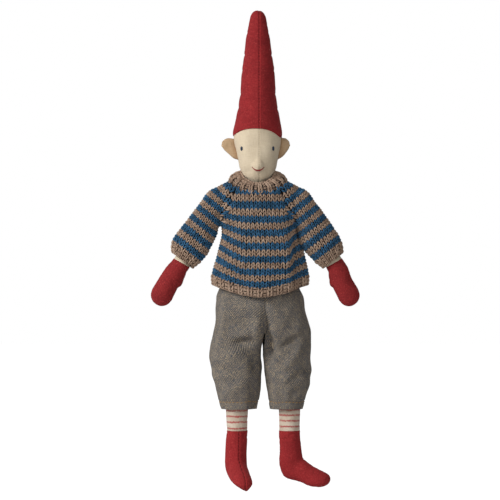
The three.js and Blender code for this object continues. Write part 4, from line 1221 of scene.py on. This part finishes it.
neckband = {
    "columns": 36, "rows": 2.9, "foot": -0.9, "over": 0.5, "rise": 9.4, "topDrop": 12.4, "inset": 1,
    "shadeSheet": 0.8, "rowHeight": 3.2,
}
bandWide = through([(-0.4, 60), (0, 59), (0.4, 57), (0.75, 50), (1.0, 40), (1.2, 33.5)])
bandDeep = through([(-0.4, 47), (0, 46), (0.4, 46), (0.75, 42.5), (1.0, 37), (1.2, 32)])
bandRows = (neckband["foot"], neckband["rows"] + neckband["over"])
t = np.linspace(*bandRows, 30)[:, None] / neckband["rows"]
turn = (np.arange(neckband["columns"] * 4) / 4 / neckband["columns"] * 2 * math.pi - math.pi)[None, :]
drop = pullover["neckDrop"] + (neckband["topDrop"] - pullover["neckDrop"]) * t
collar = Skin(np.stack(np.broadcast_arrays(
    (bandWide(t) / 2 - neckband["inset"]) * np.sin(turn),
    -(bandDeep(t) / 2 - neckband["inset"]) * np.cos(turn),
    pullover["neck"] - 1 + neckband["rise"] * t - drop * np.maximum(np.cos(turn), 0)), 2),
    (0, neckband["columns"]), bandRows, closed=True)
columns = np.arange(neckband["columns"]) + 0.5
rows = [("chain", columns, np.full(len(columns), neckband["rows"]), 1)]
for row in (-0.4, 0.6, 1.6, 2.4):
    for kind, own in (("ridge", columns[::2]), ("hollow", columns[1::2])):
        rows.append((kind, own, np.full(len(own), row), 1))
band = stitched("neckband", collar, rows, pulloverYarns, size=(gauge["column"], neckband["rowHeight"]))
everywhere = np.ones(collar.own.shape[:2], bool)
# a dark sheet of painted shade under the neckband's stitches
bandBack = ink(skinCloth("neckband_back", collar, everywhere, "knit", -neckband["shadeSheet"]), backShade)
for piece in (band, bandBack):
    up(309)
    up(330)
    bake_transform(piece)
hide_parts("sweater_neckband")
print("neckband")

# Trousers: each half is a sheet that closes round the leg at the inseam and opens above the
# crotch from the centre front to the centre back

trousers = {"end": 83, "crotch": 142, "waist": 210, "seam": 4.1, "hem": 7.5, "wide": 15,
            "long": 12.7, "foldDepth": 1.6}
outerEdge = {
    "left": through([(83, -37.6), (86, -38.6), (98, -41.6), (110, -44.6), (122, -46.8),
                     (135, -49.6), (147, -48.4),
                     (159, -45.6), (171, -43.4), (196, -42.6), (210, -38)]),
    "right": through([(83, 45.8), (86, 46.6), (98, 49.6), (110, 53.2), (122, 53.6), (135, 53.6),
                      (147, 54),
                      (159, 54.2), (171, 52), (184, 48), (196, 46.4), (210, 42)]),
}
innerEdge = {
    "left": through([(83, -1.0), (86, -0.6), (98, 2.0), (104, 2.8), (122, 3.4), (142, 3.2),
                     (210, 3.2)]),
    "right": through([(83, 12), (86, 11.6), (98, 10.0), (110, 8.2), (122, 6.4), (135, 5.3),
                      (142, 4.9), (210, 4.9)]),
}
legDepth = through([(83, 35), (142, 43), (167, 43)])
seatDepth = through([(136, 46), (167, 49), (181, 54), (210, 45.2)])
seamBow = through([(83, 0), (138, 0), (150, 3.2), (163, 5.2), (175, 4.6), (186, 3.4), (210, 2.4)])
# Front folds are (x, height, half length, half breadth, angle, rise), seen from the front
frontFolds = [
    (-14.5, 151.5, 13, 4.6, 12, -3.0), (-17, 142.5, 15, 5, 8, 1.3), (-10.5, 161, 9, 5, 24, 1.4),
    (9.5, 153.5, 20, 4.6, 93, -6.0), (-1.5, 158, 16, 5, 90, 1.7), (-3, 128.5, 7, 4.2, 90, -1.8),
    (-5, 94, 15, 5, 92, -1.6), (-30, 181, 11, 8, 60, 1.0), (-24, 167, 10, 4.4, -32, -1.1),
    (-38, 154, 9, 5, 80, 1.2), (-24, 138, 9, 6, 0, 0.9), (-32, 112, 14, 3.4, 10, -0.9),
    (-22, 121, 11, 3.4, -22, -0.8),
    (-20, 106, 12, 4.5, 30, 0.8), (-34, 96, 8, 5, 70, 0.8), (-26, 196, 13, 4, 0, -0.8),
    (34, 152.5, 8.5, 3, 35, -2.6), (41, 144, 11, 4.4, 66, 1.9), (34, 134.5, 11, 4.2, 52, 1.6),
    (22, 140, 8, 5, -60, 1.0), (42, 119, 13, 3.8, 33, -2.0), (52, 124, 7, 4, 90, -1.4),
    (28, 112, 12, 4.6, 34, 1.2),
    (20, 122, 7, 4, -50, -0.9), (38, 100, 12, 3.6, 25, -0.9), (30, 96, 8, 5, 80, 0.9),
    (43, 171, 11, 6, 80, 1.0),
    (28, 178, 12, 6, 70, 0.8), (22, 190, 10, 4, 10, -0.8),
]
# Back folds are (share of the way round, height, slope, breadth, reach round, rise)
backFolds = {
    "left": [(0.62, 122, 26, 5, 0.18, 1.4), (0.82, 139, -34, 4.5, 0.13, 1.9),
             (0.74, 104, 20, 4, 0.15, 1.2),
             (0.70, 156, -20, 5, 0.15, 1.0)],
    "right": [(0.64, 116, -24, 5, 0.18, 1.4), (0.80, 141, 30, 4.5, 0.13, 1.9),
              (0.72, 100, -18, 4, 0.15, 1.2),
              (0.68, 160, 18, 5, 0.15, 1.0)],
}


def trouserSkin(side, sign):
    z = np.linspace(trousers["end"], trousers["waist"], 160)[:, None]
    share = np.linspace(0, 1, 141)[None, :]
    half, turn = share * math.pi, share * 2 * math.pi
    inner, outer = innerEdge[side](z), outerEdge[side](z)
    legX = (inner + outer) / 2 + (inner - outer) / 2 * np.cos(turn)
    legY = -legDepth(z) / 2 * np.sin(turn)
    seam = trousers["seam"] + seamBow(z) * np.clip(np.cos(half), 0, 1)
    seatX = seam + (outer - seam) * np.sin(half) ** 0.9
    seatY = -seatDepth(z) / 2 * np.cos(half)
    rise = smoothStep(trousers["crotch"] - 6, trousers["crotch"] + 17, z)
    points = np.stack(np.broadcast_arrays(
        legX * (1 - rise) + seatX * rise, legY * (1 - rise) + seatY * rise, z), 2)
    outward = Skin(points, (0, 1), (0, 1)).normals * sign
    relief = np.zeros(points.shape[:2])
    for place, level, slope, breadth, reach, lift in backFolds[side]:
        slanted = level + slope * (share - place) * 2
        relief += lift * bump(z, slanted, breadth) * bump(share, place, reach)
    ahead = np.clip(-outward[..., 1] * 2, 0, 1)
    for x, level, length, breadth, angle, lift in frontFolds:
        c, s = math.cos(math.radians(angle)), math.sin(math.radians(angle))
        over, above = points[..., 0] - x, z - level
        fold = bump(over * c + above * s, 0, length) * bump(above * c - over * s, 0, breadth)
        relief += trousers["foldDepth"] * ahead * lift * fold
    wrinkle = np.array([[noise.noise(Vector((s * 10 + sign * 7, h * 0.06, sign * 3.0)))
                         for s in share[0]] for h in z[:, 0]])
    relief += 1.1 * wrinkle * smoothStep(83, 92, z)
    # The hem is turned up and sewn, so it draws in above its edge, and so does the inseam
    relief -= 0.6 * bump(z, trousers["end"] + trousers["hem"], 1.3)
    relief -= 0.9 * bump(np.minimum(share, 1 - share), 0, 0.02) * rise
    points = points + outward * relief[..., None]
    x, beyond = sign * points[..., 0], sign * (seam - sign * 0.35)
    points[..., 0] = sign * np.where(rise > 0.02, np.maximum(x, beyond), x)
    return Skin(points if sign > 0 else points[:, ::-1], (0, trousers["wide"]), (0, trousers["long"]))


trouserWool = trouserCloth("trouser_wool")
ochreThread = threadCloth("hem_thread", "#b68c4c", "#8a662f", 0.7)
for side, sign in sides.items():
    skin = trouserSkin(side, sign)
    leg = skinCloth(f"trouser_leg_{side}", skin, np.ones(skin.own.shape[:2], bool), "weave")
    ink(shelled(leg, cloth["trouserShell"]), trouserWool)
    around = np.arange(0.15, trousers["wide"], 0.5)
    dashes = stitched(f"hem_stitches_{side}", skin,
                      [("dash", around, 0.72 + 0.03 * np.sin(around * 2.1), 0)],
                      [ochreThread], size=(7.6, 10), loose=0.6)
    for piece in (leg, dashes):
        up(186)
        up(148)
        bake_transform(piece)
    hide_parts(f"trousers_{side}", f"trouser_hem_{side}")
print("trousers")

elastic = Shade("elastic_band")
point = elastic.objectPoint()
ribs = wave(elastic.axes(point)[2], 7000 / (2 * math.pi))
grain = elastic.mix(elastic.noise(point, 900.0, 2.0), "#cfcac0", "#e4e0d8")
ink(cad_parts["waist_elastic"], elastic.finish(grain, 0.8, ribs, 0.5, 0.0003))
